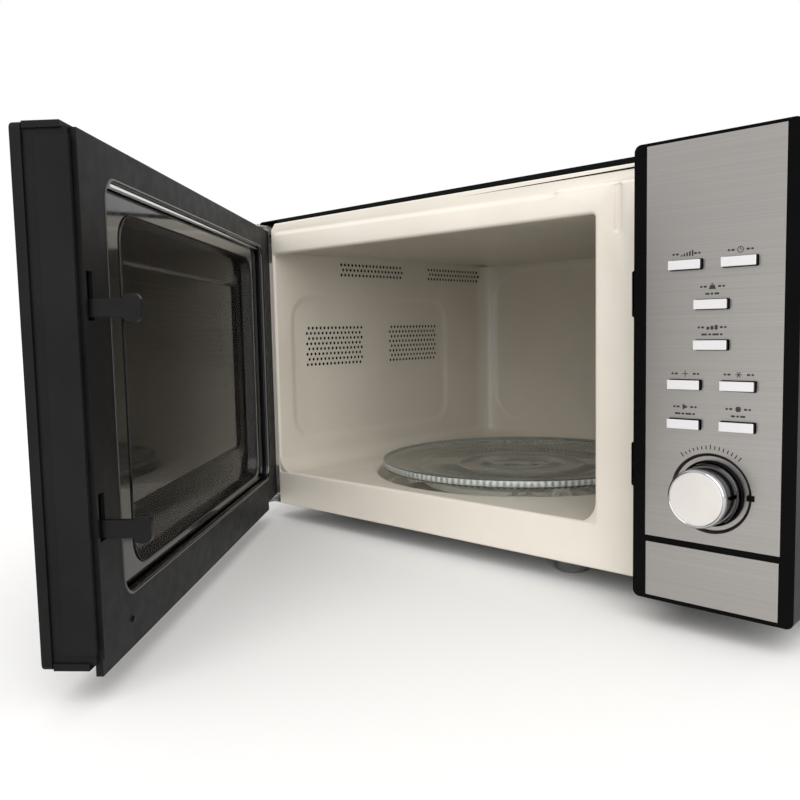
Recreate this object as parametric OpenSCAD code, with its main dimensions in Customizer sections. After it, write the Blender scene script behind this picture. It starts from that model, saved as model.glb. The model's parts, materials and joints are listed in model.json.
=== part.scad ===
// Countertop microwave oven with its door ajar, built as separate pieces.
// Modelled with x = 0 at the middle of the case, y = 0 at the front of the cavity frame
// (+Y into the oven) and z = 0 on the worktop, then moved to the row frame by in_row().

/* [Case] */
// Outside width of the case
case_w = 483; // [470:1:500]
// Height of the top of the case above the worktop
case_h = 275.8; // [270:0.1:290]
// Depth of the case behind the cavity frame
case_d = 350; // [340:1:380]
// Height of the underside of the case above the worktop
foot_h = 14.7; // [12:0.1:16]
// Thickness of the steel sheets
sheet = 0.8; // [0.5:0.1:1]

/* [Cavity] */
// Width of the cavity
cavity_w = 330; // [320:1:335]
// Depth of the cavity
cavity_d = 318; // [310:1:322]
// Middle of the cavity along the width
cavity_x = -57; // [-60:1:-54]
// Top of the cavity floor
floor_z = 44.5; // [43:0.5:46]
// Underside of the cavity ceiling
ceiling_z = 246.5; // [240:0.5:250]
// Radius of the bends between the side walls and the back wall
bend_r = 22; // [15:1:30]

/* [Door] */
// How far the door stands open
door_open = 50; // [0:1:90]
// Hinge axis along the width
hinge_x = -230; // [-231:0.5:-229]
// Hinge axis in front of the cavity frame
hinge_y = -11; // [-11.5:0.1:-11]
// Free edge of the closed door
door_x1 = 151; // [150:0.5:151.5]
// How far the closed door's glass stands in front of the cavity frame
door_proud = 30.2; // [29:0.1:32]
// Thickness from the front glass to the inner face
door_t = 28.7; // [28:0.1:29]

/* [Control panel] */
// How far the panel stands in front of the cavity frame
panel_t = 34.9; // [34:0.1:36]
// Left edge of the panel housing
panel_x0 = 152.7; // [152.7:0.1:154]
// Middle line of the keys and the knob
control_x = 197.6; // [197:0.1:198]
// Width of a key
key_w = 17.8; // [16:0.1:18]
// Height of a key
key_h = 5; // [4.5:0.1:5.5]
// Travel of a key before it touches its switch
key_travel = 0.8; // [0.5:0.1:0.9]
// Height of the knob's axis
knob_z = 82; // [80:0.5:84]
// Travel of the door release button before it meets the release lever's stop
release_travel = 4; // [3:0.5:4]

/* [Turntable] */
// Middle of the turntable along the depth
table_y = 152; // [150:1:156]
// Diameter of the glass plate
plate_d = 255; // [245:1:258]
// Diameter of a roller
roller_d = 18; // [17:0.5:18]
// Radius of the circle that the rollers run on
roller_track = 101; // [99:1:102]

/* [Hidden] */
$fn = 48;
eps = 0.01;

// Case and cavity limits.
case_x1 = case_w / 2;
case_x0 = -case_x1;
cover_x1 = case_x1 - sheet;
cav_x0 = cavity_x - cavity_w / 2;
cav_x1 = cavity_x + cavity_w / 2;
frame_x1 = case_x1 - 1.5;
frame_z1 = case_h - 3;
open_z0 = floor_z + sheet;
open_z1 = ceiling_z - 1.8;
well_r = 134;
well_z = floor_z - 16.8;
slope_r = 8;
vent_r = 1.6;

// Closed door limits.
door_x0 = case_x0 + 1;
door_z0 = foot_h + 4.5;
door_z1 = case_h - 7.1;
door_y0 = -door_proud;
door_y1 = door_y0 + door_t;
shell_y1 = door_y1 - 10;
shell_wall = 2.5;
rim_x0 = -212;
choke = [door_x0 + 5.5, door_x1 - 4.2, door_z0 + 4, door_z1 - 2.5];
recess = [-210, 120, 43, 250];
ring = [-182, 94, 50.5, 237.5];
screen = [-150, 71, 87, 206];
screen_y = door_y1 - 15;
hook_x = [139.5, 143];
hook_z = [80.5, 183];
hook_bar_y = [door_y1 - 8.5, door_y1 - 4];
pin_r = 2.4;
running_gap = 0.05;
bracket_z = [17, 269.4];
bracket_t = 1.6;

// Panel limits.
panel_x1 = case_x1;
panel_z0 = 16.2;
panel_z1 = 273.6;
face_x0 = panel_x0 + 7.5;
face_x1 = panel_x1 - 7.4;
face_z0 = 53.5;
face_z1 = 271.9;
release_z0 = 18.5;
release_z1 = 49.9;
face_t = 0.8;
front_wall = 2.5;
inner_y = -panel_t + face_t + front_wall;
key_dx = 14.4;
key_row = 21.6;
key_z0 = 119.2;
key_proud = 3.5;
dish_r = 22;
dish_depth = 1.6;
knob_proud = 19;
board_y = -20;
switch_h = 2.9;
shaft_r = 3;

// Turntable heights.
roller_z = well_z + roller_d / 2;
plate_z = well_z + roller_d + 0.1;
axle_r = 2.1;

// The row frame's origin lies under the middle of the bounding box with the door ajar,
// which the door reaches at the left and in front, and the cord gland at the back.
gland_proud = 6;
reach_x = hinge_x + (door_x0 - hinge_x) * cos(door_open) + (door_y0 - hinge_y) * sin(door_open);
reach_y = hinge_y - (door_x1 - hinge_x) * sin(door_open) + (door_y0 - hinge_y) * cos(door_open);
row_x = -(reach_x + case_x1) / 2;
row_y = -(reach_y + case_d + gland_proud) / 2;

module in_row() translate([row_x, row_y, 0]) children();
module swung() in_row() translate([hinge_x, hinge_y, 0]) rotate([0, 0, -door_open])
    translate([-hinge_x, -hinge_y, 0]) children();

// A box between two corners.
module block(lo, hi) translate(lo) cube(hi - lo);
// 2D shapes given as [low, high] on each axis, and their extrusions along each axis.
module rect(a0, a1, b0, b1) translate([a0, b0]) square([a1 - a0, b1 - b0]);
module round_rect(a0, a1, b0, b1, r) {
    rect(a0 + r, a1 - r, b0, b1);
    rect(a0, a1, b0 + r, b1 - r);
    for (a = [a0 + r, a1 - r], b = [b0 + r, b1 - r]) translate([a, b]) circle(r);
}
module along_y(y, t) translate([0, y + t, 0]) rotate([90, 0, 0]) linear_extrude(t) children();
module along_x(x, t) translate([x, 0, 0]) rotate([90, 0, 90]) linear_extrude(t) children();
module along_z(z, t) translate([0, 0, z]) linear_extrude(t) children();
module rod_y(x, z, y0, y1, r) translate([x, y1, z]) rotate([90, 0, 0]) cylinder(y1 - y0, r, r);
module rod_x(y, z, x0, x1, r) translate([x0, y, z]) rotate([0, 90, 0]) cylinder(x1 - x0, r, r);
// Rows of round holes, every second row shifted by half a pitch.
module holes(a0, b0, columns, rows, pitch, r)
    for (row = [0:rows - 1], column = [0:columns - 1])
        translate([a0 + (column + 0.5 * (row % 2)) * pitch, b0 + row * pitch]) circle(r, $fn = 16);
// A column of upright slots.
module slots(a0, b0, columns, rows, pitch, size)
    for (row = [0:rows - 1], column = [0:columns - 1])
        translate([a0 + column * pitch, b0 + row * (size[1] + 5)]) square(size);

// ---- Case ----
module outer_cover() color("#1d1d1f") {
    top_r = 4;
    y0 = 1;
    difference() {
        along_y(y0, case_d - 1 - y0) difference() {
            union() {
                rect(case_x0, case_x1, foot_h + 0.8, case_h - top_r);
                rect(case_x0 + top_r, case_x1 - top_r, case_h - top_r - 1, case_h);
                for (s = [-1, 1]) translate([s * (case_x1 - top_r), case_h - top_r]) circle(top_r);
            }
            union() {
                rect(-cover_x1, cover_x1, foot_h, case_h - top_r);
                rect(-cover_x1 + top_r, cover_x1 - top_r, case_h - top_r - 1, case_h - sheet);
                for (s = [-1, 1]) translate([s * (case_x1 - top_r), case_h - top_r])
                    circle(top_r - sheet);
            }
        }
        along_x(-case_x1 - 1, 3) slots(230, 60, 14, 3, 6, [2.4, 22]);
        along_x(case_x1 - 2, 3) slots(40, 190, 12, 2, 6, [2.4, 22]);
        along_x(case_x1 - 2, 3) slots(230, 60, 14, 3, 6, [2.4, 22]);
    }
    along_y(y0, sheet) rect(-215, 215, frame_z1 - 4, case_h - sheet + eps);
}
module back_panel() color("#8d8d8b") along_y(case_d - 1, 1) difference() {
    rect(-cover_x1 + 0.2, cover_x1 - 0.2, foot_h + sheet, case_h - sheet - 0.2);
    translate([185, 190]) for (ring_r = [12:9:48]) difference() {
        circle(ring_r + 3);
        circle(ring_r - 2);
        for (a = [0:60:120]) rotate(a) square([120, 5], center = true);
    }
    translate(gland_place) circle(7);
    for (p = screw_places) translate(p) circle(screw_r + running_gap);
    slots(-190, 190, 16, 2, 7, [2.6, 20]);
}
gland_place = [205, 45];
screw_places = [for (x = [-225, -75, 75, 225], z = [30, 262]) [x, z]];
screw_r = 1.7;
module base_plate() color("#a3a39f") along_z(foot_h, sheet) difference() {
    rect(-cover_x1 + 0.2, cover_x1 - 0.2, 1, case_d - 1.2);
    for (p = foot_places) translate(p) circle(2.6);
    slots(130, 175, 12, 2, 7, [2.6, 22]);
    slots(-175, 300, 10, 1, 7, [2.6, 22]);
}
foot_places = [[70, 34], [182, 26], [-190, 70], [-190, 312], [190, 312]];
module feet() color("#6b6b6b") for (p = foot_places) translate(p) rotate_extrude()
    polygon([[0, 0], [11.2, 0], [12, 0.8], [13.2, foot_h - 0.2], [2.5, foot_h - 0.2],
             [2.5, foot_h + 4], [0, foot_h + 4]]);
module front_frame() color("#e6dfd2") along_y(0, sheet) difference() {
    round_rect(-frame_x1, frame_x1, foot_h, frame_z1, 5);
    round_rect(cav_x0 + 0.4, cav_x1 - 0.5, open_z0, open_z1, 5);
    rect(-frame_x1 - 1, cav_x0 - 0.4, 264.5, frame_z1 + 1);
    rect(-frame_x1 - 1, cav_x0 - 0.4, foot_h - 1, 23);
    rect(162, 232, 24, 262);
    rect(133.4, 147.5, 178.5, 207);
    rect(133.4, 147.5, 73.4, 101.3);
}
module cavity_left_wall() color("#dcd5c7") along_x(cav_x0 - sheet, sheet) difference() {
    rect(sheet, cavity_d - bend_r, floor_z, ceiling_z);
    for (y = [85, 215.6]) holes(y, 229.6, 18, 3, 5, vent_r);
    for (y = [40.2, 154.6]) holes(y, 142.5, 15, 8, 5, vent_r);
}
module cavity_right_wall() color("#dcd5c7") along_x(cav_x1, sheet) difference() {
    rect(sheet, cavity_d - bend_r, floor_z, ceiling_z);
    rect(140, 215, 158, 222);
    holes(62, 215, 6, 5, 5, vent_r);
}
module cavity_back_wall() color("#dcd5c7") along_z(floor_z, ceiling_z - floor_z) difference() {
    outer = bend_r + sheet;
    union() {
        rect(cav_x0 + bend_r, cav_x1 - bend_r, cavity_d, cavity_d + sheet);
        for (x = [cav_x0 + bend_r, cav_x1 - bend_r]) translate([x, cavity_d - bend_r])
            difference() {
                circle(outer);
                circle(bend_r);
                rect(-outer - 1, outer + 1, -outer - 1, 0);
                if (x < cavity_x) rect(0, outer + 1, 0, outer + 1);
                else rect(-outer - 1, 0, 0, outer + 1);
            }
    }
}
module cavity_ceiling() color("#dcd5c7") along_z(ceiling_z, sheet) difference() {
    rect(cav_x0 - sheet, cav_x1 + sheet, sheet, cavity_d + sheet);
    for (p = [[-212.3, 76], [-210, 79.3], [-87.6, 97]]) translate(p) circle(0.7);
}
module cavity_floor() color("#dcd5c7") {
    along_z(floor_z - sheet, sheet) difference() {
        rect(cav_x0 - sheet, cav_x1 + sheet, sheet, cavity_d + sheet);
        translate([cavity_x, table_y]) circle(well_r);
    }
    translate([cavity_x, table_y, 0]) rotate_extrude($fn = 96)
        polygon([[7, well_z - sheet], [well_r - slope_r + 0.5, well_z - sheet],
                 [well_r + 0.8, floor_z - sheet], [well_r + 0.8, floor_z], [well_r, floor_z],
                 [well_r - slope_r, well_z], [7, well_z]]);
}
module hinge_brackets() color("#c9c9c9") for (k = [0, 1]) {
    z = bracket_z[k];
    flange_z = k == 0 ? [z, 50] : [238, z + bracket_t];
    along_z(z, bracket_t) difference() {
        union() {
            translate([hinge_x, hinge_y]) circle(6);
            rect(hinge_x - 6, hinge_x + 6, hinge_y, 1.2);
        }
        translate([hinge_x, hinge_y]) circle(pin_r + running_gap);
    }
    block([hinge_x - 7, 1, flange_z[0]], [hinge_x + 6, 2.6, flange_z[1]]);
}
// Round-head screws in the back panel, the sides of the cover and the hinge brackets.
module case_screws() color("#b9b9b9") {
    for (p = screw_places) {
        rod_y(p[0], p[1], case_d, case_d + 2.2, 4);
        rod_y(p[0], p[1], case_d - 7, case_d + eps, screw_r);
    }
    for (z = [244, 256, 30, 42]) rod_y(hinge_x, z, 2.6, 4.4, 3.4);
}
module cord_gland() color("#222222")
    translate([gland_place[0], case_d - 1, gland_place[1]]) rotate([-90, 0, 0])
    rotate_extrude() polygon([[3.6, -9], [6.9, -9], [6.9, 1], [10, 1], [10, 4],
                              [6.6, 1 + gland_proud], [3.6, 1 + gland_proud]]);

// ---- Control panel ----
module key_windows(gap) {
    for (p = key_places) rect(p[0] - key_w / 2 - gap, p[0] + key_w / 2 + gap,
                              p[1] - key_h / 2 - gap, p[1] + key_h / 2 + gap);
}
key_places = [[control_x - key_dx, key_z0 + 4 * key_row], [control_x + key_dx, key_z0 + 4 * key_row],
              [control_x, key_z0 + 3 * key_row], [control_x, key_z0 + 2 * key_row],
              [control_x - key_dx, key_z0 + key_row], [control_x + key_dx, key_z0 + key_row],
              [control_x - key_dx, key_z0], [control_x + key_dx, key_z0]];
module control_housing() color("#151516") difference() {
    along_y(-panel_t, panel_t - 0.3) round_rect(panel_x0, panel_x1, panel_z0, panel_z1, 4);
    block([panel_x0 + 2.2, inner_y, release_z0 - 0.4], [panel_x1 - 2.2, 1, panel_z1 - 2.2]);
    along_y(-panel_t - 1, 1 + face_t) rect(face_x0 - 0.2, face_x1 + 0.2, face_z0, face_z1 + 0.2);
    along_y(-panel_t - 1, 1 + front_wall + 2) key_windows(0.3);
    along_y(-panel_t - 1, 1 + front_wall + 2)
        rect(face_x0 + 0.1, face_x1 - 0.1, release_z0 - 0.4, release_z1 + 0.3);
    rod_y(control_x, knob_z, -panel_t - 1, -panel_t + dish_depth + face_t, dish_r + 1.2);
    rod_y(control_x, knob_z, -panel_t - 1, inner_y + 1, 11);
}
module faceplate() color("#a9aaac") {
    along_y(-panel_t, face_t) difference() {
        rect(face_x0, face_x1, face_z0, face_z1);
        key_windows(0.3);
        translate([control_x, knob_z]) circle(dish_r);
    }
    translate([control_x, -panel_t, knob_z]) rotate([-90, 0, 0]) rotate_extrude()
        polygon([[dish_r, 0], [dish_r + 1, 0], [dish_r + 1, dish_depth + face_t],
                 [5.5, dish_depth + face_t], [5.5, dish_depth], [dish_r - 1.6, dish_depth]]);
}
module release_button() color("#a9aaac") {
    x0 = face_x0 + 0.4;
    x1 = face_x1 - 0.4;
    block([x0, -panel_t, release_z0], [x1, -panel_t + 2.4, release_z1]);
    for (x = [x0 + 6, x1 - 8])
        block([x, -panel_t + 2.4 - eps, release_z0 + 5], [x + 2, -20, release_z1 - 5]);
    block([164, -panel_t + 2.4 - eps, 38], [169, lever_y - 0.4, 44]);
}
module key(index) color("#d5d6d8") translate([key_places[index][0], 0, key_places[index][1]]) {
    flange_y = inner_y + 0.3;
    block([-key_w / 2, -panel_t - key_proud, -key_h / 2], [key_w / 2, flange_y, key_h / 2]);
    block([-key_w / 2 - 1.2, flange_y, -key_h / 2 - 1.2],
          [key_w / 2 + 1.2, flange_y + 1.2, key_h / 2 + 1.2]);
    rod_y(0, 0, flange_y + 1.2 - eps, board_y - switch_h - 0.5 - key_travel, 1.8);
}
module knob() color("#cfd0d2") translate([control_x, -panel_t, knob_z]) rotate([90, 0, 0])
    rotate_extrude($fn = 96)
        polygon([[16.6, 0.3 - dish_depth], [16.6, 3], [16, 4.5], [15.8, knob_proud - 1.4],
                 [14.6, knob_proud], [0, knob_proud], [0, 12], [shaft_r, 12],
                 [shaft_r, 0.3 - dish_depth], [8, 0.3 - dish_depth], [8, 9], [13.4, 9],
                 [13.4, 0.3 - dish_depth]]);
module encoder_shaft() color("#9a9a9a") {
    rod_y(control_x, knob_z, -panel_t - 12 + eps, board_y - 8.1, shaft_r);
}
module encoder_body() color("#4a6a4a") difference() {
    union() {
        block([control_x - 7, board_y - 8, knob_z - 7], [control_x + 7, board_y - eps, knob_z + 7]);
        rod_y(control_x, knob_z, board_y - 12.4, board_y - 8 + eps, 4.6);
    }
    rod_y(control_x, knob_z, board_y - 13, board_y - 8, shaft_r + running_gap);
}
module control_board() color("#2f6b3a") {
    block([164, board_y, 62], [231, board_y + 1.6, 258]);
    for (p = key_places)
        block([p[0] - 3, board_y - switch_h, p[1] - 3], [p[0] + 3, board_y + eps, p[1] + 3]);
    for (z = [92, 112, 132]) block([168, board_y + 1.6 - eps, z], [187, board_y + 17, z + 15]);
    block([194, board_y + 1.6 - eps, 96], [226, board_y + 19, 130]);
    for (z = [150, 172, 194]) rod_y(212, z, board_y + 1.6 - eps, board_y + 15, 7);
}
module display_module() color("#101820")
    block([control_x - 26, inner_y + 0.2, 226], [control_x + 26, board_y - eps, 250]);

// ---- Door latch, body side ----
module latch_bracket() color("#1b1b1d") {
    difference() {
        union() {
            block([129, 1.4, 52], [131, 46, 214]);
            block([149, 1.4, 52], [151, 46, 214]);
            block([129, 1.4, 212], [151, 46, 214]);
            block([129, 1.4, 52], [151, 24, 54]);
            for (z = hook_z) block([129, 1.4, z - 10], [151, 12.5, z - 3.6]);
            rod_x(9, 62, 151 - eps, 158, 2.5);
        }
        block([148, 14, 54 + eps], [152, 47, 84]);
    }
}
module door_switches() color("#1b1b1b") for (z = [hook_z[0] - 8, hook_z[1] - 8, 118]) {
    block([134, 26, z], [146, 40, z + 26]);
    rod_y(141, z + 13, 24, 26 + eps, 1.4);
}
lever_y = release_travel - 0.8;
module release_lever() color("#d8d2c4") difference() {
    union() {
        rod_x(9, 62, 152.2, 156.2, 6);
        block([152.2, lever_y, 38], [156.2, 7, 62]);
        block([152.2, 9, 58.5], [156.2, 23, 65.5]);
        block([137, 17, 58.5], [156.2, 23, 65.5]);
        block([137, 17, 65.5 - eps], [143, 23, 74]);
        block([152.2, lever_y, 38], [169, 7, 44]);
    }
    rod_x(9, 62, 150, 160, 2.5 + running_gap);
}

// ---- High voltage and cooling ----
module magnetron_body() color("#b8bbb9") {
    difference() {
        block([136, 130, 142], [216, 214, 214]);
        block([138, 129, 144], [214, 215, 212]);
    }
    rod_x(172, 178, 137, 215, 19);
    rod_x(172, 178, 118, 137, 7.5);
    block([216, 152, 158], [236, 192, 198]);
    for (x = [142, 198]) rod_x(172, 178, x, x + 12, 30);
}
module magnetron_fins() color("#d7dadb") for (x = [160:6:190]) difference() {
    block([x, 134, 146], [x + 0.8, 210, 210]);
    rod_x(172, 178, x - 1, x + 2, 19);
}
module waveguide() color("#c9ccca") difference() {
    block([cav_x1 + sheet, 130, 150], [136, 220, 230]);
    block([cav_x1, 132, 152], [134.8, 218, 228]);
    rod_x(172, 178, 130, 140, 9);
}
module waveguide_cover() color("#c8b48a") block([cav_x1 - 0.6, 136, 154], [cav_x1 - 0.1, 219, 226]);
module transformer_core() color("#5b5f63") difference() {
    block([132, 62, 16], [222, 142, 92]);
    block([146, 61, 32], [162, 143, 76]);
    block([192, 61, 32], [208, 143, 76]);
}
module transformer_coils() color("#b5651d") for (y = [48, 142.2]) difference() {
    block([148, y, 34], [206, y + 13.8, 74]);
    block([162.5, y - 1, 45], [191.5, y + 15, 63]);
}
module capacitor() color("#c2c5c6") {
    along_z(16, 88) {
        rect(142, 172, 188, 222);
        for (x = [142, 172]) translate([x, 205]) circle(17);
    }
    for (x = [147, 167]) translate([x, 205, 103.9]) cylinder(10, 2.5, 2.5);
}
module hv_diode() color("#2a2a2a") {
    rod_x(240, 24, 150, 172, 4.2);
    rod_x(240, 24, 138, 184, 0.9);
}
fan_x = 180;
fan_z = 190;
module fan_motor() color("#6f7275") difference() {
    union() {
        block([150, 268, 160], [210, 289, 220]);
        block([136, 289 - eps, 184], [224, 291, 196]);
        rod_y(fan_x, fan_z, 264, 294, 8);
    }
    rod_y(fan_x, fan_z, 260, 300, 2.5 + running_gap);
}
module fan_blade() color("#d9d9d2") translate([fan_x, 0, fan_z]) {
    rod_y(0, 0, 262, 322, 2.5);
    difference() {
        rod_y(0, 0, 302, 322, 14);
        rod_y(0, 0, 301, 323, 2.5 - eps);
    }
    for (a = [0:72:288]) rotate([0, a, 0]) translate([32, 312, 0]) rotate([28, 0, 0])
        cube([42, 1.6, 26], center = true);
}
module fan_duct() color("#1f1f1f") difference() {
    block([fan_x - 62, 298, fan_z - 62], [fan_x + 60, case_d - 1.2, fan_z + 62]);
    rod_y(fan_x, fan_z, 296, 327, 57);
    block([fan_x - 59, 326, fan_z - 59], [fan_x + 57, case_d, fan_z + 59]);
    rod_y(fan_x, fan_z, 290, 300, 30);
}
module lamp() color("#e9e4cf") {
    rod_x(74, 226, 116, 138, 8);
    block([138, 62, 214], [150, 86, 238]);
    translate([112, 50, 208]) difference() {
        block([0, 0, 0], [2, 48, 38]);
        translate([-1, 24, 18]) rotate([0, 90, 0]) cylinder(4, 9, 9);
    }
}
module noise_filter() color("#31624a") {
    block([140, 250, 252], [228, 330, 253.6]);
    for (p = [[158, 275], [208, 300]]) translate([p[0], p[1], 253.6 - eps]) cylinder(16, 10, 10);
    block([176, 262, 253.6 - eps], [194, 320, 268]);
}

// ---- Turntable ----
module turntable_motor() color("#b9bcbd") difference() {
    union() {
        translate([cavity_x, table_y, foot_h + sheet + 0.2]) cylinder(11, 25, 25);
        block([cavity_x - 34, table_y - 4, 25.4], [cavity_x + 34, table_y + 4, 26.4]);
    }
    translate([cavity_x, table_y, 20]) cylinder(20, 3.5 + running_gap, 3.5 + running_gap);
}
module drive_coupler() color("#e3e0d6") translate([cavity_x, table_y, 0]) {
    translate([0, 0, 20.5]) cylinder(20, 3.5, 3.5);
    translate([0, 0, well_z + 2]) cylinder(plate_z - 5 - well_z - 2, 9, 9);
    for (a = [90, 210, 330]) rotate(a)
        block([0, -3.5, plate_z - 5 - eps], [21, 3.5, plate_z - 0.3]);
    translate([0, 0, plate_z - 5 - eps]) cylinder(4.7, 6, 6);
}
module roller_ring() color("#efece2") translate([cavity_x, table_y, 0]) {
    pocket = 22;
    along_z(roller_z - 3, 5) {
        difference() {
            circle(90);
            circle(84);
        }
        difference() {
            circle(roller_track + 3.5);
            circle(roller_track - 3);
            for (a = roller_angles) rotate(a) {
                rect(80, 120, -pocket, pocket);
                rotate(60) rect(20, 120, -58, 58);
            }
        }
        for (a = roller_angles, s = [-1, 1], turn = [14.5, 22]) rotate(a + s * turn)
            rect(89, roller_track - 1, -2.5, 2.5);
    }
    for (a = roller_angles) rotate(a) {
        rod_x(0, roller_z, 89, roller_track + 0.4, axle_r);
    }
}
roller_angles = [-36, 84, 204];
module roller(index) color("#f3f2ec") translate([cavity_x, table_y, 0])
    rotate(roller_angles[index]) difference() {
        rod_x(0, roller_z, roller_track - 3.5, roller_track + 3.5, roller_d / 2);
        rod_x(0, roller_z, roller_track - 5, roller_track + 1, axle_r + running_gap);
        rod_x(0, roller_z, roller_track + 0.6, roller_track + 5, 4);
    }
module glass_plate() color([0.75, 0.82, 0.78, 0.5]) translate([cavity_x, table_y, plate_z]) {
    r = plate_d / 2;
    rotate_extrude($fn = 96) polygon([[0, 0], [r - 20, 0], [r - 5, 2.6], [r, 3.2], [r, 10],
                                      [r - 2, 10.3], [r - 4, 9], [r - 8, 6.4], [r - 22, 4],
                                      [0, 4]]);
    for (a = [30, 150, 270]) rotate(a) translate([0, 0, -4.6]) linear_extrude(4.7)
        difference() {
            circle(18);
            circle(11);
            rotate(30) rect(-30, 30, 0, 30);
            rotate(-30) rect(-30, 30, -30, 0);
        }
}

// ---- Door, modelled closed ----
module door_shell() color("#18181a") difference() {
    union() {
        along_y(door_y0, shell_y1 - door_y0) round_rect(door_x0, door_x1, door_z0, door_z1, 3);
        // The rim beside the inner face starts past the hinge and is deepest at the free edge.
        for (rim = [[rim_x0, door_y1 - 5.5], [door_x1 - shell_wall, door_y1 - 2]])
            along_y(shell_y1 - eps, rim[1] - shell_y1) difference() {
                round_rect(door_x0, door_x1, door_z0, door_z1, 3);
                rect(door_x0 - 1, rim[0], door_z0 - 1, door_z1 + 1);
            }
    }
    block([door_x0 + shell_wall, door_y0 + 5, door_z0 + shell_wall],
          [door_x1 - shell_wall, 0, door_z1 - shell_wall]);
    along_y(door_y0 - 1, 4) rect(door_x0 + 3.8, door_x1 - 3.2, door_z0 + 3.8, door_z1 - 3.8);
    along_y(door_y0, 8) round_rect(-170, 85, 68, 225, 8);
    block([door_x1 - 1.6, door_y0 + 5.5, door_z0 + 7.3], [door_x1 + 1, door_y0 + 11.2, door_z1 - 6.3]);
    for (z = [door_z0 - 1, door_z1 - 3.5])
        block([hinge_x - 3.3, hinge_y - 3.2, z], [hinge_x + 6.5, 0, z + 4.5]);
}
module door_glass() color([0.05, 0.05, 0.06, 0.6]) along_y(door_y0, 3)
    round_rect(door_x0 + 4, door_x1 - 3.4, door_z0 + 4, door_z1 - 4, 2);
module door_choke_cover() color("#1c1c1f") difference() {
    y0 = door_y1 - 12;
    union() {
        along_y(y0, 12) rect(choke[0], choke[1], choke[2], choke[3]);
        block([rim_x0 + 8, door_y1 - 4.5, door_z0 - 4.2], [choke[1], door_y1 - 1, choke[2] + eps]);
    }
    along_y(y0 - 1, 11) difference() {
        rect(choke[0] + 2, choke[1] - 2, choke[2] + 2, choke[3] - 2);
        round_rect(recess[0] - 1.5, recess[1] + 1.5, recess[2] - 1.5, recess[3] + 1.5, 13.5);
    }
    along_y(y0 - 1, 14) round_rect(recess[0], recess[1], recess[2], recess[3], 12);
    for (z = hook_z) block([138.2, -8, z - 2], [144.4, 0, z + 20.5]);
    for (z = [choke[2] - 1, choke[3] - 2.5])
        block([hinge_x - 3.3, y0 - 1, z], [hinge_x + 6.5, hinge_y + 4, z + 3.5]);
}
module door_film() color([0.1, 0.1, 0.11, 0.5]) along_y(door_y1 - 5.4, 0.4)
    round_rect(recess[0] + 0.3, recess[1] - 0.3, recess[2] + 0.3, recess[3] - 0.3, 11.7);
module door_pan() color("#26262a") {
    y = door_y1 - 13;
    along_y(y, sheet) difference() {
        rect(choke[0] + 3, choke[1] - 3, choke[2] + 3, choke[3] - 3);
        round_rect(screen[0] - 6, screen[1] + 6, screen[2] - 6, screen[3] + 6, 10);
    }
    along_y(y + sheet, 6) difference() {
        round_rect(ring[0], ring[1], ring[2], ring[3], 16);
        round_rect(ring[0] + 2, ring[1] - 2, ring[2] + 2, ring[3] - 2, 14);
    }
    along_y(screen_y, y - screen_y + sheet) difference() {
        round_rect(screen[0] - 6.8, screen[1] + 6.8, screen[2] - 6.8, screen[3] + 6.8, 10.8);
        round_rect(screen[0] - 6, screen[1] + 6, screen[2] - 6, screen[3] + 6, 10);
    }
    along_y(screen_y - 0.6, 0.6)
        round_rect(screen[0] - 6.8, screen[1] + 6.8, screen[2] - 6.8, screen[3] + 6.8, 10.8);
}
module door_hinge_pins() color("#c9c9c9") {
    // Each is [bottom and top of its root block], [bottom and top of its pin].
    for (z = [[[19.6, 34], [16, 22.4]], [[254, 268], [267.8, 272.4]]]) {
        block([hinge_x - 2.8, door_y1 - 13 + sheet, z[0][0]], [hinge_x + 6, hinge_y + 3.4, z[0][1]]);
        translate([hinge_x, hinge_y, z[1][0]]) cylinder(z[1][1] - z[1][0], pin_r, pin_r);
    }
}
module latch_hooks() color("#1a1a1c") {
    block([hook_x[0] - 1, hook_bar_y[0], hook_z[0] - 12],
          [hook_x[1] + 0.5, hook_bar_y[1], hook_z[1] + 16]);
    for (z = hook_z) {
        block([hook_x[0], hook_bar_y[1] - eps, z - 0.5], [hook_x[1], door_y1 + 19, z + 8]);
        along_x(hook_x[0], hook_x[1] - hook_x[0])
            round_rect(door_y1 + 14.7, door_y1 + 23.7, z - 3, z + 10, 3.5);
    }
}
module latch_spring() color("#a8a8a8") translate([(hook_x[0] + hook_x[1]) / 2,
                                                  (hook_bar_y[0] + hook_bar_y[1]) / 2, 0])
    along_z(hook_z[1] + 16.2, 36) difference() {
        circle(2);
        circle(1.2);
    }

// ---- Assembly ----
in_row() outer_cover();
in_row() back_panel();
in_row() base_plate();
in_row() feet();
in_row() front_frame();
in_row() cavity_left_wall();
in_row() cavity_right_wall();
in_row() cavity_back_wall();
in_row() cavity_ceiling();
in_row() cavity_floor();
in_row() hinge_brackets();
in_row() control_housing();
in_row() faceplate();
in_row() release_button();
in_row() key(0);  // key_power
in_row() key(1);  // key_clock
in_row() key(2);  // key_weight
in_row() key(3);  // key_stage
in_row() key(4);  // key_speed_defrost
in_row() key(5);  // key_auto_defrost
in_row() key(6);  // key_start
in_row() key(7);  // key_stop
in_row() knob();
in_row() encoder_shaft();
in_row() encoder_body();
in_row() control_board();
in_row() display_module();
in_row() latch_bracket();
in_row() door_switches();
in_row() release_lever();
in_row() magnetron_body();
in_row() magnetron_fins();
in_row() waveguide();
in_row() waveguide_cover();
in_row() transformer_core();
in_row() transformer_coils();
in_row() capacitor();
in_row() hv_diode();
in_row() fan_motor();
in_row() fan_blade();
in_row() fan_duct();
in_row() turntable_motor();
in_row() drive_coupler();
in_row() roller_ring();
in_row() roller(0);  // roller_1
in_row() roller(1);  // roller_2
in_row() roller(2);  // roller_3
in_row() glass_plate();
in_row() lamp();
in_row() noise_filter();
in_row() cord_gland();
in_row() case_screws();
swung() door_shell();
swung() door_glass();
swung() door_pan();
swung() door_choke_cover();
swung() door_film();
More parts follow.
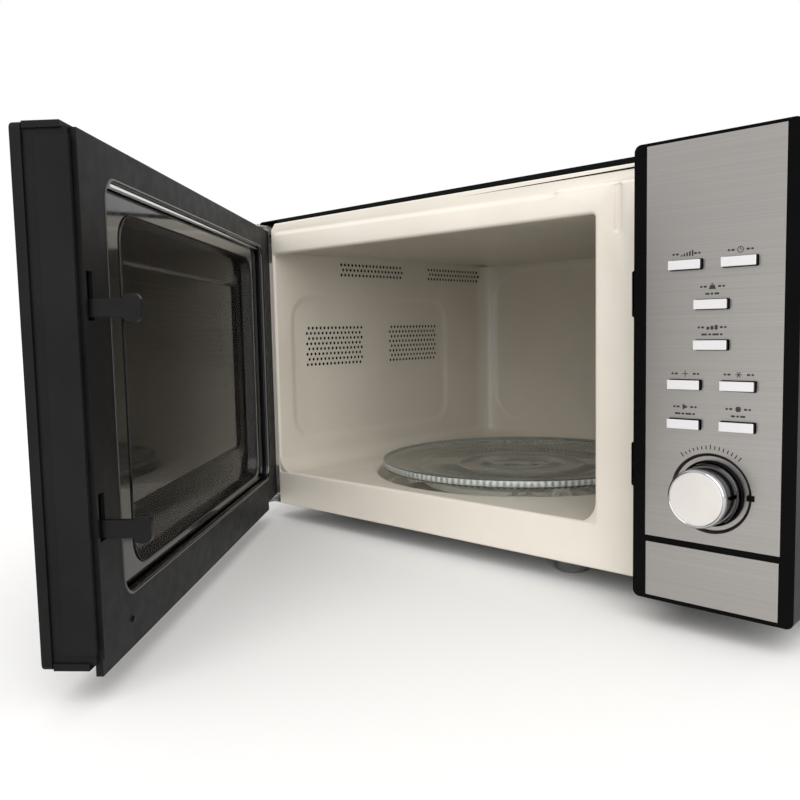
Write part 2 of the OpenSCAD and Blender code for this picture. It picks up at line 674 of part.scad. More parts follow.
swung() door_hinge_pins();
swung() latch_hooks();
swung() latch_spring();
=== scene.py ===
"""Looks of a countertop microwave oven with its door ajar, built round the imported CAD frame.

Shapes are drawn in millimetres in the oven's own frame: x = 0 at the middle of the case, y = 0 at
the front of the cavity frame (+y into the oven), z = 0 on the worktop. Door pieces are drawn with
the door closed and swung open by DOOR. Both frames are placed from the CAD boxes and the hinge.
"""
import json
import math

import bmesh
import bpy
import numpy as np
from mathutils import Matrix, Vector
from mathutils.geometry import delaunay_2d_cdt


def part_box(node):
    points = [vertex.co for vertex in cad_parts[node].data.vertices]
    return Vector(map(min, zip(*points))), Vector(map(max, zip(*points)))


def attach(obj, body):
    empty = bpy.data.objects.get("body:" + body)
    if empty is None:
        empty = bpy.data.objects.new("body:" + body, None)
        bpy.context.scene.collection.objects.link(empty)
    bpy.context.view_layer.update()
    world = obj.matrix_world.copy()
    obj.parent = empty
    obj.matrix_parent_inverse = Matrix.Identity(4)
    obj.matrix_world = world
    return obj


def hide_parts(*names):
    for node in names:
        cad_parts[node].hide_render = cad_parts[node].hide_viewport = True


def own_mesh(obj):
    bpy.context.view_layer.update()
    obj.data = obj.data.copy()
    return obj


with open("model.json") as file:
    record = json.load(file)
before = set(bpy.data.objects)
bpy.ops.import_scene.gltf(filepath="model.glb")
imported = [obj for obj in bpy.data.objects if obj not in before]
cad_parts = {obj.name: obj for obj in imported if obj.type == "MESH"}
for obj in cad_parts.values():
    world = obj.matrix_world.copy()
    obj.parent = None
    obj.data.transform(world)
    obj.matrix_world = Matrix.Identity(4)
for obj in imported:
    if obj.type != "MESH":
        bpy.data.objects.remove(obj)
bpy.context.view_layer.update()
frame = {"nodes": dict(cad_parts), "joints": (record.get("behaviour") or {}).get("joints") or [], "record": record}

# ---- Frames ----
MM = 0.001
cover_low, cover_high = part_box("outer_cover")
ORIGIN = Vector(((cover_low.x + cover_high.x) / 2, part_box("front_frame")[0].y, 0))
TO_ROW = Matrix.Translation(ORIGIN) @ Matrix.Scale(MM, 4)
HINGE = next(joint for joint in frame["joints"] if joint["name"] == "door_hinge")
PIVOT = Matrix.Translation(Vector(HINGE["pos_m"]))
SWING = Matrix.Rotation(math.radians(HINGE["range_deg"][0]), 4, "Z")
DOOR = PIVOT @ SWING @ PIVOT.inverted() @ TO_ROW

# ---- Sizes, in millimetres ----
# A box is (low x, high x, low z, high z) and a pair is (low, high), but for TABLE, which is an x
# and a y, and KNOB and KEYS, which are an x and a z.
SHEET = 0.8
CAV_X = (-222.0, 108.0)
CAV_BACK = 318.0
FLOOR_Z, CEILING_Z = 44.5, 246.5
BEND = 22.0
COVE = 15.0
TABLE = (-57.0, 152.0)
WELL_R, WELL_Z = 134.0, 27.7
PLATE_Z, PLATE_R = 45.8, 127.5
FRAME_X, FRAME_Z = 240.0, (14.7, 272.8)
OPENING = (-221.6, 107.5, 45.3, 244.7)
FACE_Y = -34.9
KNOB = (197.6, 82.0)
DOOR_X, DOOR_Z = (-240.5, 151.0), (19.2, 268.7)
DOOR_Y = (-30.2, -1.5)
CHOKE = (-235.0, 146.8, 23.2, 266.2)
RECESS = (-210, 120, 43, 250)
RECESS_R, RING_R = 12, 16
RING = (-182, 94, 50.5, 237.5)
SCREEN = (-150, 71, 87, 206)
WINDOW = (-170, 85, 68, 225)
KEYS = {"power": (183.2, 205.6), "clock": (212.0, 205.6), "weight": (197.6, 184.0),
        "stage": (197.6, 162.4), "speed_defrost": (183.2, 140.8), "auto_defrost": (212.0, 140.8),
        "start": (183.2, 119.2), "stop": (212.0, 119.2)}


# ---- Outlines ----
def arc(centre, r, start, end, steps):
    """Points on an arc, from the start angle to the end angle in degrees."""
    return [(centre[0] + r * math.cos(math.radians(a)), centre[1] + r * math.sin(math.radians(a)))
            for a in np.linspace(start, end, steps + 1)]


def circle(centre, r, steps=16):
    """A closed round outline."""
    return arc(centre, r, 0, 360, steps)[:-1]


def round_box(box, r, steps=8, grow=0.0):
    """A rectangle (low and high on both axes) with round corners, grown all round by grow."""
    a0, a1, b0, b1 = box[0] - grow, box[1] + grow, box[2] - grow, box[3] + grow
    r = max(r + grow, 0.05)
    corners = ((a1 - r, b1 - r), (a0 + r, b1 - r), (a0 + r, b0 + r), (a1 - r, b0 + r))
    points = []
    for turn, corner in enumerate(corners):
        points += arc(corner, r, 90 * turn, 90 * turn + 90, steps)
    return points


def corners_of(box):
    """The four corners of a rectangle, in order."""
    return [(box[0], box[2]), (box[1], box[2]), (box[1], box[3]), (box[0], box[3])]


def hole_rows(a0, b0, columns, rows, pitch, r, steps=12):
    """Rows of round holes, every second row shifted by half a pitch."""
    return [circle((a0 + (column + 0.5 * (row % 2)) * pitch, b0 + row * pitch), r, steps)
            for row in range(rows) for column in range(columns)]


def distance_to_box(u, v, box, r):
    """Signed distance to a rectangle with round corners, negative inside."""
    half_u, half_v = (box[1] - box[0]) / 2 - r, (box[3] - box[2]) / 2 - r
    du = np.abs(u - (box[0] + box[1]) / 2) - half_u
    dv = np.abs(v - (box[2] + box[3]) / 2) - half_v
    outside = np.hypot(np.maximum(du, 0), np.maximum(dv, 0))
    return outside + np.minimum(np.maximum(du, dv), 0) - r


def ease(t):
    """Smooth step from 0 at t <= 0 to 1 at t >= 1."""
    t = np.clip(t, 0, 1)
    return t * t * (3 - 2 * t)


def rolled(d, r):
    """Depth of an edge rolled over with radius r, at distance d from it."""
    inside = np.clip(r - d, 0, r)
    return r - np.sqrt(np.maximum(r * r - inside * inside, 0))


# ---- Shapes: (points as an n x 3 array, faces as index tuples) ----
def join(*shapes):
    """Several shapes as one."""
    points, faces, count = [], [], 0
    for shape_points, shape_faces in shapes:
        points.append(np.asarray(shape_points, float))
        faces += [tuple(i + count for i in face) for face in shape_faces]
        count += len(shape_points)
    return np.vstack(points), faces


def in_loops(at, loops):
    """Even-odd test of points against loops."""
    starts = np.vstack([np.asarray(loop, float) for loop in loops])
    ends = np.vstack([np.roll(np.asarray(loop, float), -1, axis=0) for loop in loops])
    inside = np.zeros(len(at), bool)
    rise = ends[:, 1] - starts[:, 1]
    slope = (ends[:, 0] - starts[:, 0]) / np.where(rise == 0, 1, rise)
    for first in range(0, len(at), 1000):
        u, v = at[first:first + 1000, 0:1], at[first:first + 1000, 1:2]
        spans = (starts[:, 1] > v) != (ends[:, 1] > v)
        crossed = spans & (u < starts[:, 0] + (v - starts[:, 1]) * slope)
        inside[first:first + 1000] = crossed.sum(1) % 2 == 1
    return inside


def pattern(outline, holes=(), loops=(), lines=()):
    """Triangulates a flat sheet with holes; loops and open lines become edges of the mesh."""
    points, edges = [], []
    for chain in [outline, *holes, *loops]:
        first = len(points)
        points += [Vector(p) for p in chain]
        edges += [(first + i, first + (i + 1) % len(chain)) for i in range(len(chain))]
    for chain in lines:
        first = len(points)
        points += [Vector(p) for p in chain]
        edges += [(first + i, first + i + 1) for i in range(len(chain) - 1)]
    made = delaunay_2d_cdt(points, edges, [], 0, 1e-5)
    flat = np.array([tuple(p) for p in made[0]])
    triangles = np.array([face for face in made[2] if len(face) == 3])
    kept = in_loops(flat[triangles].mean(axis=1), [outline, *holes])
    triangles = triangles[kept]
    used, renamed = np.unique(triangles, return_inverse=True)
    return flat[used], renamed.reshape(triangles.shape)


def pressed(sheet, height, thickness, place):
    """A pressed sheet: its front at height(u, v), closed by a back surface and side walls."""
    flat, triangles = sheet
    u, v = flat[:, 0], flat[:, 1]
    depth = height(u, v) + 0 * u
    points = np.vstack([place(u, v, depth), place(u, v, depth + thickness)])
    count = len(flat)
    faces = [tuple(t) for t in triangles] + [tuple(t[::-1] + count) for t in triangles]
    sides = np.vstack([triangles[:, [0, 1]], triangles[:, [1, 2]], triangles[:, [2, 0]]])
    directed = {tuple(edge) for edge in sides.tolist()}
    faces += [(b, a, a + count, b + count) for a, b in sorted(directed) if (b, a) not in directed]
    return points, faces


def on_front(u, v, w):
    """Places a sheet upright across the oven, with w going into it."""
    return np.column_stack([u, w, v])


def upright(y, way=1):
    """A placing like on_front at a depth y, with w going into the oven, or out of it for way = -1."""
    return lambda u, v, w: np.column_stack([u, y + way * w, v])


def lying(z, way=1):
    """A placing that lays a sheet at a height z, with w going up, or down for way = -1."""
    return lambda u, v, w: np.column_stack([u, v, z + way * w])


def level(u, v):
    """The height of a sheet that isn't pressed."""
    return 0 * u


def loft(rings, closed=False):
    """Skins rings of equal length. closed joins the last to the first, else the ends are capped."""
    count = len(rings[0])
    points = np.vstack([np.asarray(ring, float) for ring in rings])
    faces = []
    last = len(rings) if closed else len(rings) - 1
    for k in range(last):
        here, there = k * count, (k + 1) % len(rings) * count
        for i in range(count):
            j = (i + 1) % count
            faces.append((here + i, here + j, there + j, there + i))
    if not closed:
        faces.append(tuple(range(count))[::-1])
        faces.append(tuple(range((len(rings) - 1) * count, len(rings) * count)))
    return points, faces


def lathe(profile, segments, at, axis="z", closed=False, wave=None):
    """Turns a profile of (radius, height) about an axis through the point at."""
    angles = np.linspace(0, 2 * math.pi, segments, endpoint=False)
    rings = []
    for k, (r, h) in enumerate(profile):
        lift = wave(k, angles) if wave else 0 * angles
        rings.append(np.column_stack([r * np.cos(angles), r * np.sin(angles), h + lift]))
    points, faces = loft(rings, closed)
    if axis == "y":
        points = points[:, [0, 2, 1]] * np.array([1, -1, 1])
    if axis == "x":
        points = points[:, [2, 0, 1]]
    return points + np.array(at, float), faces


def ring_loft(box, r, profile):
    """Sweeps a closed profile of (outward offset, y) round an upright rectangle with round corners."""
    rings = [[(u, y, v) for u, v in round_box(box, r, 8, grow)] for grow, y in profile]
    return loft(rings, closed=True)


def block(low, high):
    """A box between two corners."""
    x, y, z = zip(low, high)
    points = [(x[i], y[j], z[k]) for i in (0, 1) for j in (0, 1) for k in (0, 1)]
    faces = [(0, 1, 3, 2), (4, 6, 7, 5), (0, 4, 5, 1), (2, 3, 7, 6), (0, 2, 6, 4), (1, 5, 7, 3)]
    return np.array(points, float), faces


# ---- Pieces ----
EDGE_ANGLE = 32  # degrees between two faces, above which their edge is rounded or kept sharp
FLATNESS = 0.6   # degrees, below which neighbouring faces are joined
WELD = 0.004     # mm, below which two points are one


def mesh_of(name, shape, place=TO_ROW):
    """A shape in millimetres as a mesh in the row's metres."""
    points, faces = shape
    mesh = bpy.data.meshes.new(name)
    mesh.from_pydata([tuple(p) for p in points], [], faces)
    mesh.transform(place)
    tidy_mesh(mesh)
    return mesh


def tidy_mesh(mesh, flat=False):
    """Merges doubled points, joins flat neighbours where flat is set and turns faces outwards."""
    bm = bmesh.new()
    bm.from_mesh(mesh)
    bmesh.ops.remove_doubles(bm, verts=bm.verts, dist=WELD * MM)
    if flat:
        bmesh.ops.dissolve_limit(bm, angle_limit=math.radians(FLATNESS), verts=bm.verts, edges=bm.edges)
    bmesh.ops.recalc_face_normals(bm, faces=bm.faces)
    bm.to_mesh(mesh)
    bm.free()


def soften(obj, bevel, segments=2):
    """Rounds the edges and keeps flat faces flat in the shading."""
    obj.data.shade_smooth()
    round_off = obj.modifiers.new("edges", "BEVEL")
    round_off.width = bevel * MM
    round_off.segments = segments
    round_off.limit_method = "ANGLE"
    round_off.angle_limit = math.radians(EDGE_ANGLE)
    round_off.miter_outer = "MITER_ARC"
    normals = obj.modifiers.new("normals", "WEIGHTED_NORMAL")
    normals.keep_sharp = True


def new_object(name, data):
    """A new object in the scene."""
    obj = bpy.data.objects.new(name, data)
    bpy.context.scene.collection.objects.link(obj)
    return obj


def settle(obj, body, material, hides=()):
    """Gives an object its material and body, and hides the CAD nodes that it stands for."""
    obj.data.materials.clear()
    obj.data.materials.append(material)
    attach(obj, body)
    if hides:
        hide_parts(*hides)
    return obj


def piece(name, shape, body, material, hides=(), place=TO_ROW, bevel=0.0, sharp=38):
    """A shape as a finished object: its edges are rounded by bevel, or else sharp above an angle."""
    mesh = mesh_of(name, shape, place)
    obj = new_object(name, mesh)
    if bevel:
        soften(obj, bevel)
    else:
        mesh.shade_smooth()
        mesh.set_sharp_from_angle(angle=math.radians(sharp))
    return settle(obj, body, material, hides)


def body_and_slot(node):
    """The body that a CAD node belongs to, and its material slot."""
    record = frame["record"]
    slot = next(row["material_slot"] for row in record["subparts"] if row["node"] == node)
    bodies = record["behaviour"]["bodies"]
    return next(name for name, nodes in bodies.items() if node in nodes), slot


def dressed(node, material, bevel=0.3, segments=2):
    """The CAD node's own shape as a piece with its edges rounded by bevel, standing for the node."""
    source = frame["nodes"][node].data
    mesh = bpy.data.meshes.new(node + "_finished")
    mesh.from_pydata([v.co for v in source.vertices], [], [tuple(p.vertices) for p in source.polygons])
    tidy_mesh(mesh, flat=bevel > 0)
    obj = new_object(node + "_finished", mesh)
    if bevel:
        soften(obj, bevel, segments)
    else:
        obj.data.shade_smooth()
        obj.data.set_sharp_from_angle(angle=math.radians(EDGE_ANGLE))
    body, slot = body_and_slot(node)
    return settle(obj, body, material, [node])


# ---- Materials ----
def tone(r, g, b):
    """A colour given as screen values from 0 to 255, as the linear values that shaders take."""
    def linear(value):
        value /= 255
        return value / 12.92 if value <= 0.04045 else ((value + 0.055) / 1.055) ** 2.4
    return (linear(r), linear(g), linear(b), 1.0)


class Finish:
    """A procedural material: two tones, uneven roughness and a fine relief.

    patch is the scale of the two tones' pattern, which stretch draws out on each axis. rough is the
    range of the roughness, and relief the scale, strength and distance of the bump.
    """

    def __init__(self, name, dark, light, patch=40, stretch=(1, 1, 1), rough=(0.4, 0.5),
                 rough_scale=120, relief=(900, 0.1, 0.0001), metallic=0.0, **sockets):
        self.material = bpy.data.materials.new(name)
        self.material.use_nodes = True
        self.tree = self.material.node_tree
        shader = self.tree.nodes["Principled BSDF"]
        self.set_inputs(shader, Metallic=metallic, **sockets)
        mapping = self.add("Mapping", Scale=stretch)
        self.link(self.add("TexCoord").outputs["Object"], mapping.inputs["Vector"])
        self.where = mapping.outputs["Vector"]
        colours = self.add("ValToRGB")
        for end, position, colour in zip(colours.color_ramp.elements, (0.3, 0.7), (dark, light)):
            end.position = position
            end.color = tone(*colour)
        self.link(self.noise(patch, 4), colours.inputs["Fac"])
        self.link(colours.outputs["Color"], shader.inputs["Base Color"])
        span = self.add("MapRange", From_Min=0.3, From_Max=0.7, To_Min=rough[0], To_Max=rough[1])
        self.link(self.noise(rough_scale, 3), span.inputs["Value"])
        self.link(span.outputs["Result"], shader.inputs["Roughness"])
        bump = self.add("Bump", Strength=relief[1], Distance=relief[2])
        self.link(self.noise(relief[0], 2), bump.inputs["Height"])
        self.link(bump.outputs["Normal"], shader.inputs["Normal"])

    def link(self, source, target):
        self.tree.links.new(source, target)

    def set_inputs(self, node, **values):
        for socket, value in values.items():
            node.inputs[socket.replace("_", " ")].default_value = value

    def add(self, kind, **values):
        """A shader node of a kind, with its inputs set."""
        node = self.tree.nodes.new("ShaderNode" + kind)
        self.set_inputs(node, **values)
        return node

    def noise(self, scale, detail):
        node = self.add("TexNoise", Scale=scale, Detail=detail)
        self.link(self.where, node.inputs["Vector"])
        return node.outputs["Fac"]


def make_materials():
    """Every look by its name."""
    made = {
        "cream": Finish("cream_powder_coat", (224, 216, 203), (231, 224, 212), patch=14,
                        rough=(0.34, 0.46), relief=(700, 0.16, 0.00012),
                        Coat_Weight=0.12, Coat_Roughness=0.25),
        # The cavity's enamel is darker than the frame's cream: partly its own greyer tone, partly painted shade
        # for the deep cavity
        "cavity": Finish("cavity_enamel_and_painted_shade", (208, 201, 188), (217, 210, 197), patch=10,
                         rough=(0.3, 0.42), relief=(520, 0.1, 0.00012),
                         Coat_Weight=0.15, Coat_Roughness=0.2),
        "steel": Finish("brushed_steel_panel", (160, 157, 154), (173, 169, 165), patch=5,
                        stretch=(1.2, 1.2, 900), rough=(0.3, 0.37), rough_scale=8,
                        relief=(9, 0.05, 0.00004), metallic=1.0),
        "cover": Finish("black_enamel", (12, 12, 13), (17, 17, 18), patch=20,
                        rough=(0.42, 0.54), relief=(620, 0.25, 0.00014), Specular_IOR_Level=0.05),
        "housing": Finish("gloss_black_plastic", (7, 7, 8), (10, 10, 11), patch=30,
                          rough=(0.18, 0.26), relief=(300, 0.05, 0.00008), Specular_IOR_Level=0.04),
        "satin": Finish("satin_black_plastic", (19, 19, 20), (25, 25, 26), patch=30,
                        rough=(0.36, 0.46), relief=(1800, 0.2, 0.00006), Specular_IOR_Level=0.08),
        "flange": Finish("black_pan_lacquer", (6, 6, 7), (9, 9, 10), patch=24,
                         rough=(0.1, 0.16), relief=(260, 0.05, 0.0001), Specular_IOR_Level=0.3),
        "gloss": Finish("polished_black_bead", (6, 6, 7), (9, 9, 10), patch=40,
                        rough=(0.08, 0.13), relief=(400, 0.03, 0.00005), Specular_IOR_Level=0.9),
        "moulded": Finish("black_nylon", (8, 8, 9), (13, 13, 14), patch=60,
                          rough=(0.26, 0.38), relief=(2200, 0.2, 0.00005), Specular_IOR_Level=0.16),
        "key": Finish("silver_key_lacquer", (214, 212, 213), (219, 217, 218), patch=30,
                      rough=(0.28, 0.34), relief=(900, 0.03, 0.00002), metallic=0.3),
        "chrome": Finish("chrome_plate", (176, 177, 179), (190, 191, 193), patch=50,
                         rough=(0.05, 0.1), relief=(500, 0.03, 0.00004), metallic=1.0),
        # painted reflection: chrome toned down to stand in for the dark surroundings that the knob's side reflects
        "shade_darkened_chrome": Finish("chrome_with_painted_dark_reflection", (66, 66, 69), (80, 80, 83), patch=50,
                              rough=(0.06, 0.12), relief=(500, 0.03, 0.00004), metallic=1.0),
        "knob_face": Finish("satin_knob_face", (208, 202, 198), (216, 211, 207), patch=60,
                            rough=(0.4, 0.5), relief=(2400, 0.12, 0.00003), metallic=0.3),
        "zinc": Finish("zinc_plate", (168, 168, 166), (206, 206, 202), patch=160,
                       rough=(0.24, 0.42), relief=(600, 0.12, 0.00008), metallic=1.0),
        "galvanised": Finish("galvanised_sheet", (150, 151, 150), (186, 187, 186), patch=70,
                             rough=(0.34, 0.52), relief=(420, 0.1, 0.0001), metallic=0.85),
        "aluminium": Finish("mill_aluminium", (184, 186, 188), (212, 214, 215), patch=60,
                            stretch=(1, 1, 9), rough=(0.28, 0.42), relief=(380, 0.1, 0.00008),
                            metallic=1.0),
        "spring": Finish("drawn_spring_wire", (140, 140, 140), (178, 178, 178), patch=220,
                         rough=(0.2, 0.34), relief=(1500, 0.1, 0.00004), metallic=1.0),
        "iron": Finish("varnished_laminations", (52, 54, 57), (76, 78, 80), patch=9,
                       stretch=(1, 220, 1), rough=(0.38, 0.58), relief=(9, 0.5, 0.0003), metallic=0.6),
        "copper": Finish("enamelled_winding", (136, 66, 26), (184, 98, 44), patch=10,
                         stretch=(12, 12, 160), rough=(0.22, 0.36), relief=(10, 0.7, 0.0005), metallic=0.8),
        "white": Finish("natural_white_plastic", (222, 219, 208), (236, 233, 224), patch=50,
                        rough=(0.36, 0.5), relief=(1600, 0.15, 0.00005), Subsurface_Weight=0.05),
        "rubber": Finish("grey_rubber", (92, 92, 90), (116, 116, 113), patch=90,
                         rough=(0.6, 0.78), relief=(1400, 0.3, 0.00008)),
        "board": Finish("green_solder_mask", (24, 74, 40), (40, 104, 58), patch=260,
                        rough=(0.22, 0.36), relief=(500, 0.25, 0.0001)),
        "display": Finish("display_window", (10, 14, 18), (16, 22, 28), patch=50,
                          rough=(0.06, 0.12), relief=(300, 0.03, 0.00003)),
        "mica": Finish("mica_sheet", (168, 148, 108), (196, 178, 138), patch=130,
                       rough=(0.24, 0.5), relief=(420, 0.3, 0.0001)),
        "print": Finish("printed_ink", (34, 32, 32), (44, 42, 42), patch=300,
                        rough=(0.45, 0.6), relief=(2600, 0.15, 0.00002)),
        "plate_glass": Finish("pressed_glass", (226, 231, 226), (234, 238, 234), patch=30,
                              rough=(0.015, 0.05), relief=(90, 0.04, 0.0002),
                              Transmission_Weight=0.93, IOR=1.5),
        "door_glass": Finish("tinted_door_glass", (8, 8, 9), (13, 13, 14), patch=20,
                             rough=(0.02, 0.05), relief=(60, 0.02, 0.0001), IOR=1.5, Alpha=0.72),
        "film": Finish("window_film", (6, 6, 7), (10, 10, 11), patch=12, rough=(0.03, 0.07),
                       relief=(28, 0.02, 0.0003), Specular_IOR_Level=0.1, Alpha=0.05),
        "border": Finish("printed_film_border", (7, 7, 8), (11, 11, 12), patch=12,
                         rough=(0.05, 0.09), relief=(24, 0.02, 0.0003), IOR=1.7),
        "pane": Finish("screen_lacquer", (10, 10, 11), (14, 14, 15), patch=12, rough=(0.03, 0.06),
                       relief=(24, 0.02, 0.0003), IOR=2.4, Alpha=0.62),
        # painted highlight: a light satin strip that stands in for the glint along the top edge of the door's
        # recess
        "painted_highlight": Finish("painted_highlight_strip", (226, 226, 227), (238, 238, 239), patch=40,
                         rough=(0.1, 0.16), relief=(400, 0.03, 0.00005), metallic=0.25),
        "knurl": Finish("knurled_glass_rim", (226, 230, 226), (240, 243, 240), patch=60,
                        rough=(0.12, 0.24), relief=(1200, 0.2, 0.00006), Transmission_Weight=0.35, IOR=1.5),
        "screen": Finish("screen_paint", (26, 26, 27), (34, 34, 35), patch=40,
                         rough=(0.3, 0.42), relief=(900, 0.1, 0.00005), metallic=0.2),
    }
    return {name: finish.material for name, finish in made.items()}


# ---- Camera, floor and light: the camera in millimetres and degrees, as the oven was seen ----
CAMERA_AT = (371.8, -460.8, 173.7)
CAMERA_TURN, CAMERA_TILT, CAMERA_ROLL = 43.49, 4.96, 1.21
LENS, SENSOR = 36.15, 36.0


def make_camera():
    """The camera, turned, tilted and rolled in front of the oven."""
    data = bpy.data.cameras.new("camera")
    data.sensor_width = SENSOR
    data.lens = LENS
    data.clip_end = 100
    camera = new_object("camera", data)
    turn = (Matrix.Rotation(math.radians(CAMERA_TURN), 4, "Z")
            @ Matrix.Rotation(math.radians(90 - CAMERA_TILT), 4, "X")
            @ Matrix.Rotation(math.radians(-CAMERA_ROLL), 4, "Z"))
    camera.matrix_world = Matrix.Translation(TO_ROW @ Vector(CAMERA_AT)) @ turn
    bpy.context.scene.camera = camera


WORLD_LIGHT = 0.9
KEY_LIGHT, KEY_SOFTNESS = 2.2, 70
KEY_TILT, KEY_TURN = 36, 42


def make_floor_plane(half):
    """A square floor round the object, half as long as given in metres."""
    mesh = bpy.data.meshes.new("studio_floor")
    mesh.from_pydata([(x, y, 0) for x, y in corners_of((-half, half, -half, half))], [], [(0, 1, 2, 3)])
    return new_object("studio_floor", mesh)


def make_surroundings():
    """The pale floor, the white studio and one soft light."""
    floor = make_floor_plane(60)
    floor.data.materials.append(Finish("pale_floor", (238, 237, 235), (244, 243, 241), patch=0.5,
                                       rough=(0.7, 0.8), relief=(60, 0.02, 0.0001)).material)
    world = bpy.data.worlds.new("studio")
    world.use_nodes = True
    tree = world.node_tree
    background = tree.nodes["Background"]
    background.inputs["Color"].default_value = (1.0, 1.0, 1.0, 1.0)
    background.inputs["Strength"].default_value = WORLD_LIGHT
    seen = tree.nodes.new("ShaderNodeBackground")
    seen.inputs["Color"].default_value = (1.0, 1.0, 1.0, 1.0)
    seen.inputs["Strength"].default_value = 1.0
    path = tree.nodes.new("ShaderNodeLightPath")
    mix = tree.nodes.new("ShaderNodeMixShader")
    tree.links.new(path.outputs["Is Camera Ray"], mix.inputs["Fac"])
    tree.links.new(background.outputs["Background"], mix.inputs[1])
    tree.links.new(seen.outputs["Background"], mix.inputs[2])
    tree.links.new(mix.outputs["Shader"], tree.nodes["World Output"].inputs["Surface"])
    bpy.context.scene.world = world
    light = bpy.data.lights.new("soft_key", "SUN")
    light.energy = KEY_LIGHT
    light.angle = math.radians(KEY_SOFTNESS)
    key = new_object("soft_key", light)
    key.rotation_euler = (math.radians(90 - KEY_TILT), 0, math.radians(KEY_TURN))
    bpy.context.scene.view_settings.view_transform = "Standard"


# ---- Case ----
CASE_BACK = 350
BRACKET_Y = 2.6


def make_cover(looks):
    """The outer cover, base and back with their screws, feet and hinge brackets."""
    dressed("outer_cover", looks["cover"], bevel=0)
    dressed("base_plate", looks["galvanised"], bevel=0)
    dressed("back_panel", looks["galvanised"], bevel=0)
    dressed("feet", looks["rubber"], bevel=0.8, segments=3)
    dressed("cord_gland", looks["moulded"], bevel=0.5)
    dressed("hinge_brackets", looks["zinc"], bevel=0.3)
    make_screws(looks)


def screw_head(at, r, height):
    """A round head with a cross recess, facing the back, its flat side at the point at."""
    arm, wide = 0.62 * r, 0.17 * r
    cross = [(wide, wide), (wide, arm), (-wide, arm), (-wide, wide), (-arm, wide), (-arm, -wide),
             (-wide, -wide), (-wide, -arm), (wide, -arm), (wide, -wide), (arm, -wide), (arm, wide)]
    rings = [circle((0, 0), r * share, 32) for share in (0.97, 0.9, 0.78)]
    sheet = pattern(circle((0, 0), r, 32), [cross], rings)

    def dome(u, v):
        d = np.clip(np.hypot(u, v) / r, 0, 1)
        return -height * np.sqrt(1 - 0.92 * d ** 4)

    top = pressed(sheet, dome, 0.6 * height * 0.4, on_front)
    rest = lathe([(r * 0.99, 0.0), (r, 0.25 * height), (r * 0.93, 0.42 * height)], 32, (0, 0, 0), "y")
    points, faces = join(top, rest)
    return points * np.array([-1, -1, 1]) + np.array(at, float), faces


def make_screws(looks):
    """The screws of the back panel and of the hinge brackets."""
    places = [(x, CASE_BACK, z) for x in (-225, -75, 75, 225) for z in (30, 262)]
    heads = [screw_head(place, 4.0, 2.2) for place in places]
    shanks = [lathe([(1.7, 1.5), (1.7, 6.2), (0.3, 7.0)], 16, place, "y") for place in places]
    hinge = [screw_head((-230, BRACKET_Y, z), 3.3, 1.8) for z in (244, 256, 30, 42)]
    piece("case_screw_heads", join(*heads, *shanks, *hinge), "case", looks["zinc"], ["case_screws"])


# ---- Front frame ----
STRIP_DEPTH = 2.0
STRIP_STEP = 79
CORNER = 2.8
GROOVE, GROOVE_R = (121.2, 126, 231.6, 262), 2.4


def strip_edge(x):
    """Height of the upper edge of the frame's flat face, below the set-back strip."""
    return np.where(x < STRIP_STEP, 263.2 - 0.012 * (x + 194), 262.4 - 0.01 * (x - STRIP_STEP))


def strip_softness(x):
    """Height over which the strip sets back: wide on the left, narrow on the right."""
    return np.where(x < STRIP_STEP, 5.0, 1.6)


def frame_height(u, v):
    """Depth of the front frame: rolled edges, the set-back strip, its notch and the upright groove."""
    roll_in, roll_out = 2.4, 1.6
    opening = rolled(np.maximum(distance_to_box(u, v, OPENING, CORNER), 0), roll_in)
    to_rim = np.minimum(FRAME_X - np.abs(u), np.minimum(v - FRAME_Z[0], FRAME_Z[1] - v))
    edge = rolled(np.maximum(to_rim, 0), roll_out)
    along = ease((v - strip_edge(u)) / strip_softness(u) + 0.5) * ease((u + 221) / 6)
    lean = np.clip((FRAME_Z[1] - v) / 10, 0, 1)
    groove = 1.5 * ease(0.5 - distance_to_box(u, v, GROOVE, GROOVE_R) / 2.0)
    left = 1.6 * ease((-222.5 - u) / 3)
    return opening + edge + STRIP_DEPTH * along * (0.35 + 0.65 * lean) + groove + left


def make_front_frame(looks):
    """The pressed sheet round the mouth of the cavity, with the latch slots and the panel's cut-out."""
    low, high = FRAME_Z
    right = FRAME_X - 5
    outline = [(-222.4, low), *arc((right, low + 5), 5, -90, 0, 6), *arc((right, high - 5), 5, 0, 90, 6),
               (-217.5, high), (-222.4, 267), (-222.4, 264.5), (-FRAME_X, 264.5), (-FRAME_X, 23),
               (-222.4, 23)]
    latch_slots = [round_box((133.4, 147.5, z0, z1), 1.4, 4) for z0, z1 in ((178.5, 207), (73.4, 101.3))]
    holes = [round_box(OPENING, CORNER, 8), *latch_slots, round_box((162, 232, 24, 262), 2, 3)]
    loops = [round_box(OPENING, CORNER, 8, grow) for grow in (0.2, 0.6, 1.2, 1.8, 2.4, 5)]
    loops += [round_box((-FRAME_X, FRAME_X, low, high), 5, 6, -grow) for grow in (0.3, 0.9, 1.6)]
    loops += [round_box(GROOVE, GROOVE_R, 6, grow) for grow in (1, 0.5, 0, -0.5, -1)]
    spots = np.concatenate([np.linspace(-221.5, 78, 40), np.linspace(79.2, 238, 24)])
    lines = [[(x, float(strip_edge(x) + share * strip_softness(x))) for x in spots]
             for share in (-0.5, -0.3, -0.15, 0, 0.15, 0.3, 0.5)]
    lines += [[(x, 24), (x, 264)] for x in (-222.7, -223.5, -224.5, -225.6)]
    sheet = pattern(outline, holes, loops, lines)
    piece("front_frame_sheet", pressed(sheet, frame_height, SHEET, on_front), "case",
          looks["cream"], ["front_frame"])


# ---- Cavity ----
SIDE = CAV_BACK - BEND
TURN = BEND * math.pi / 2
BACK = CAV_X[1] - CAV_X[0] - 2 * BEND
COVE_LENGTH = COVE * math.pi / 2
VENT_R = 1.6


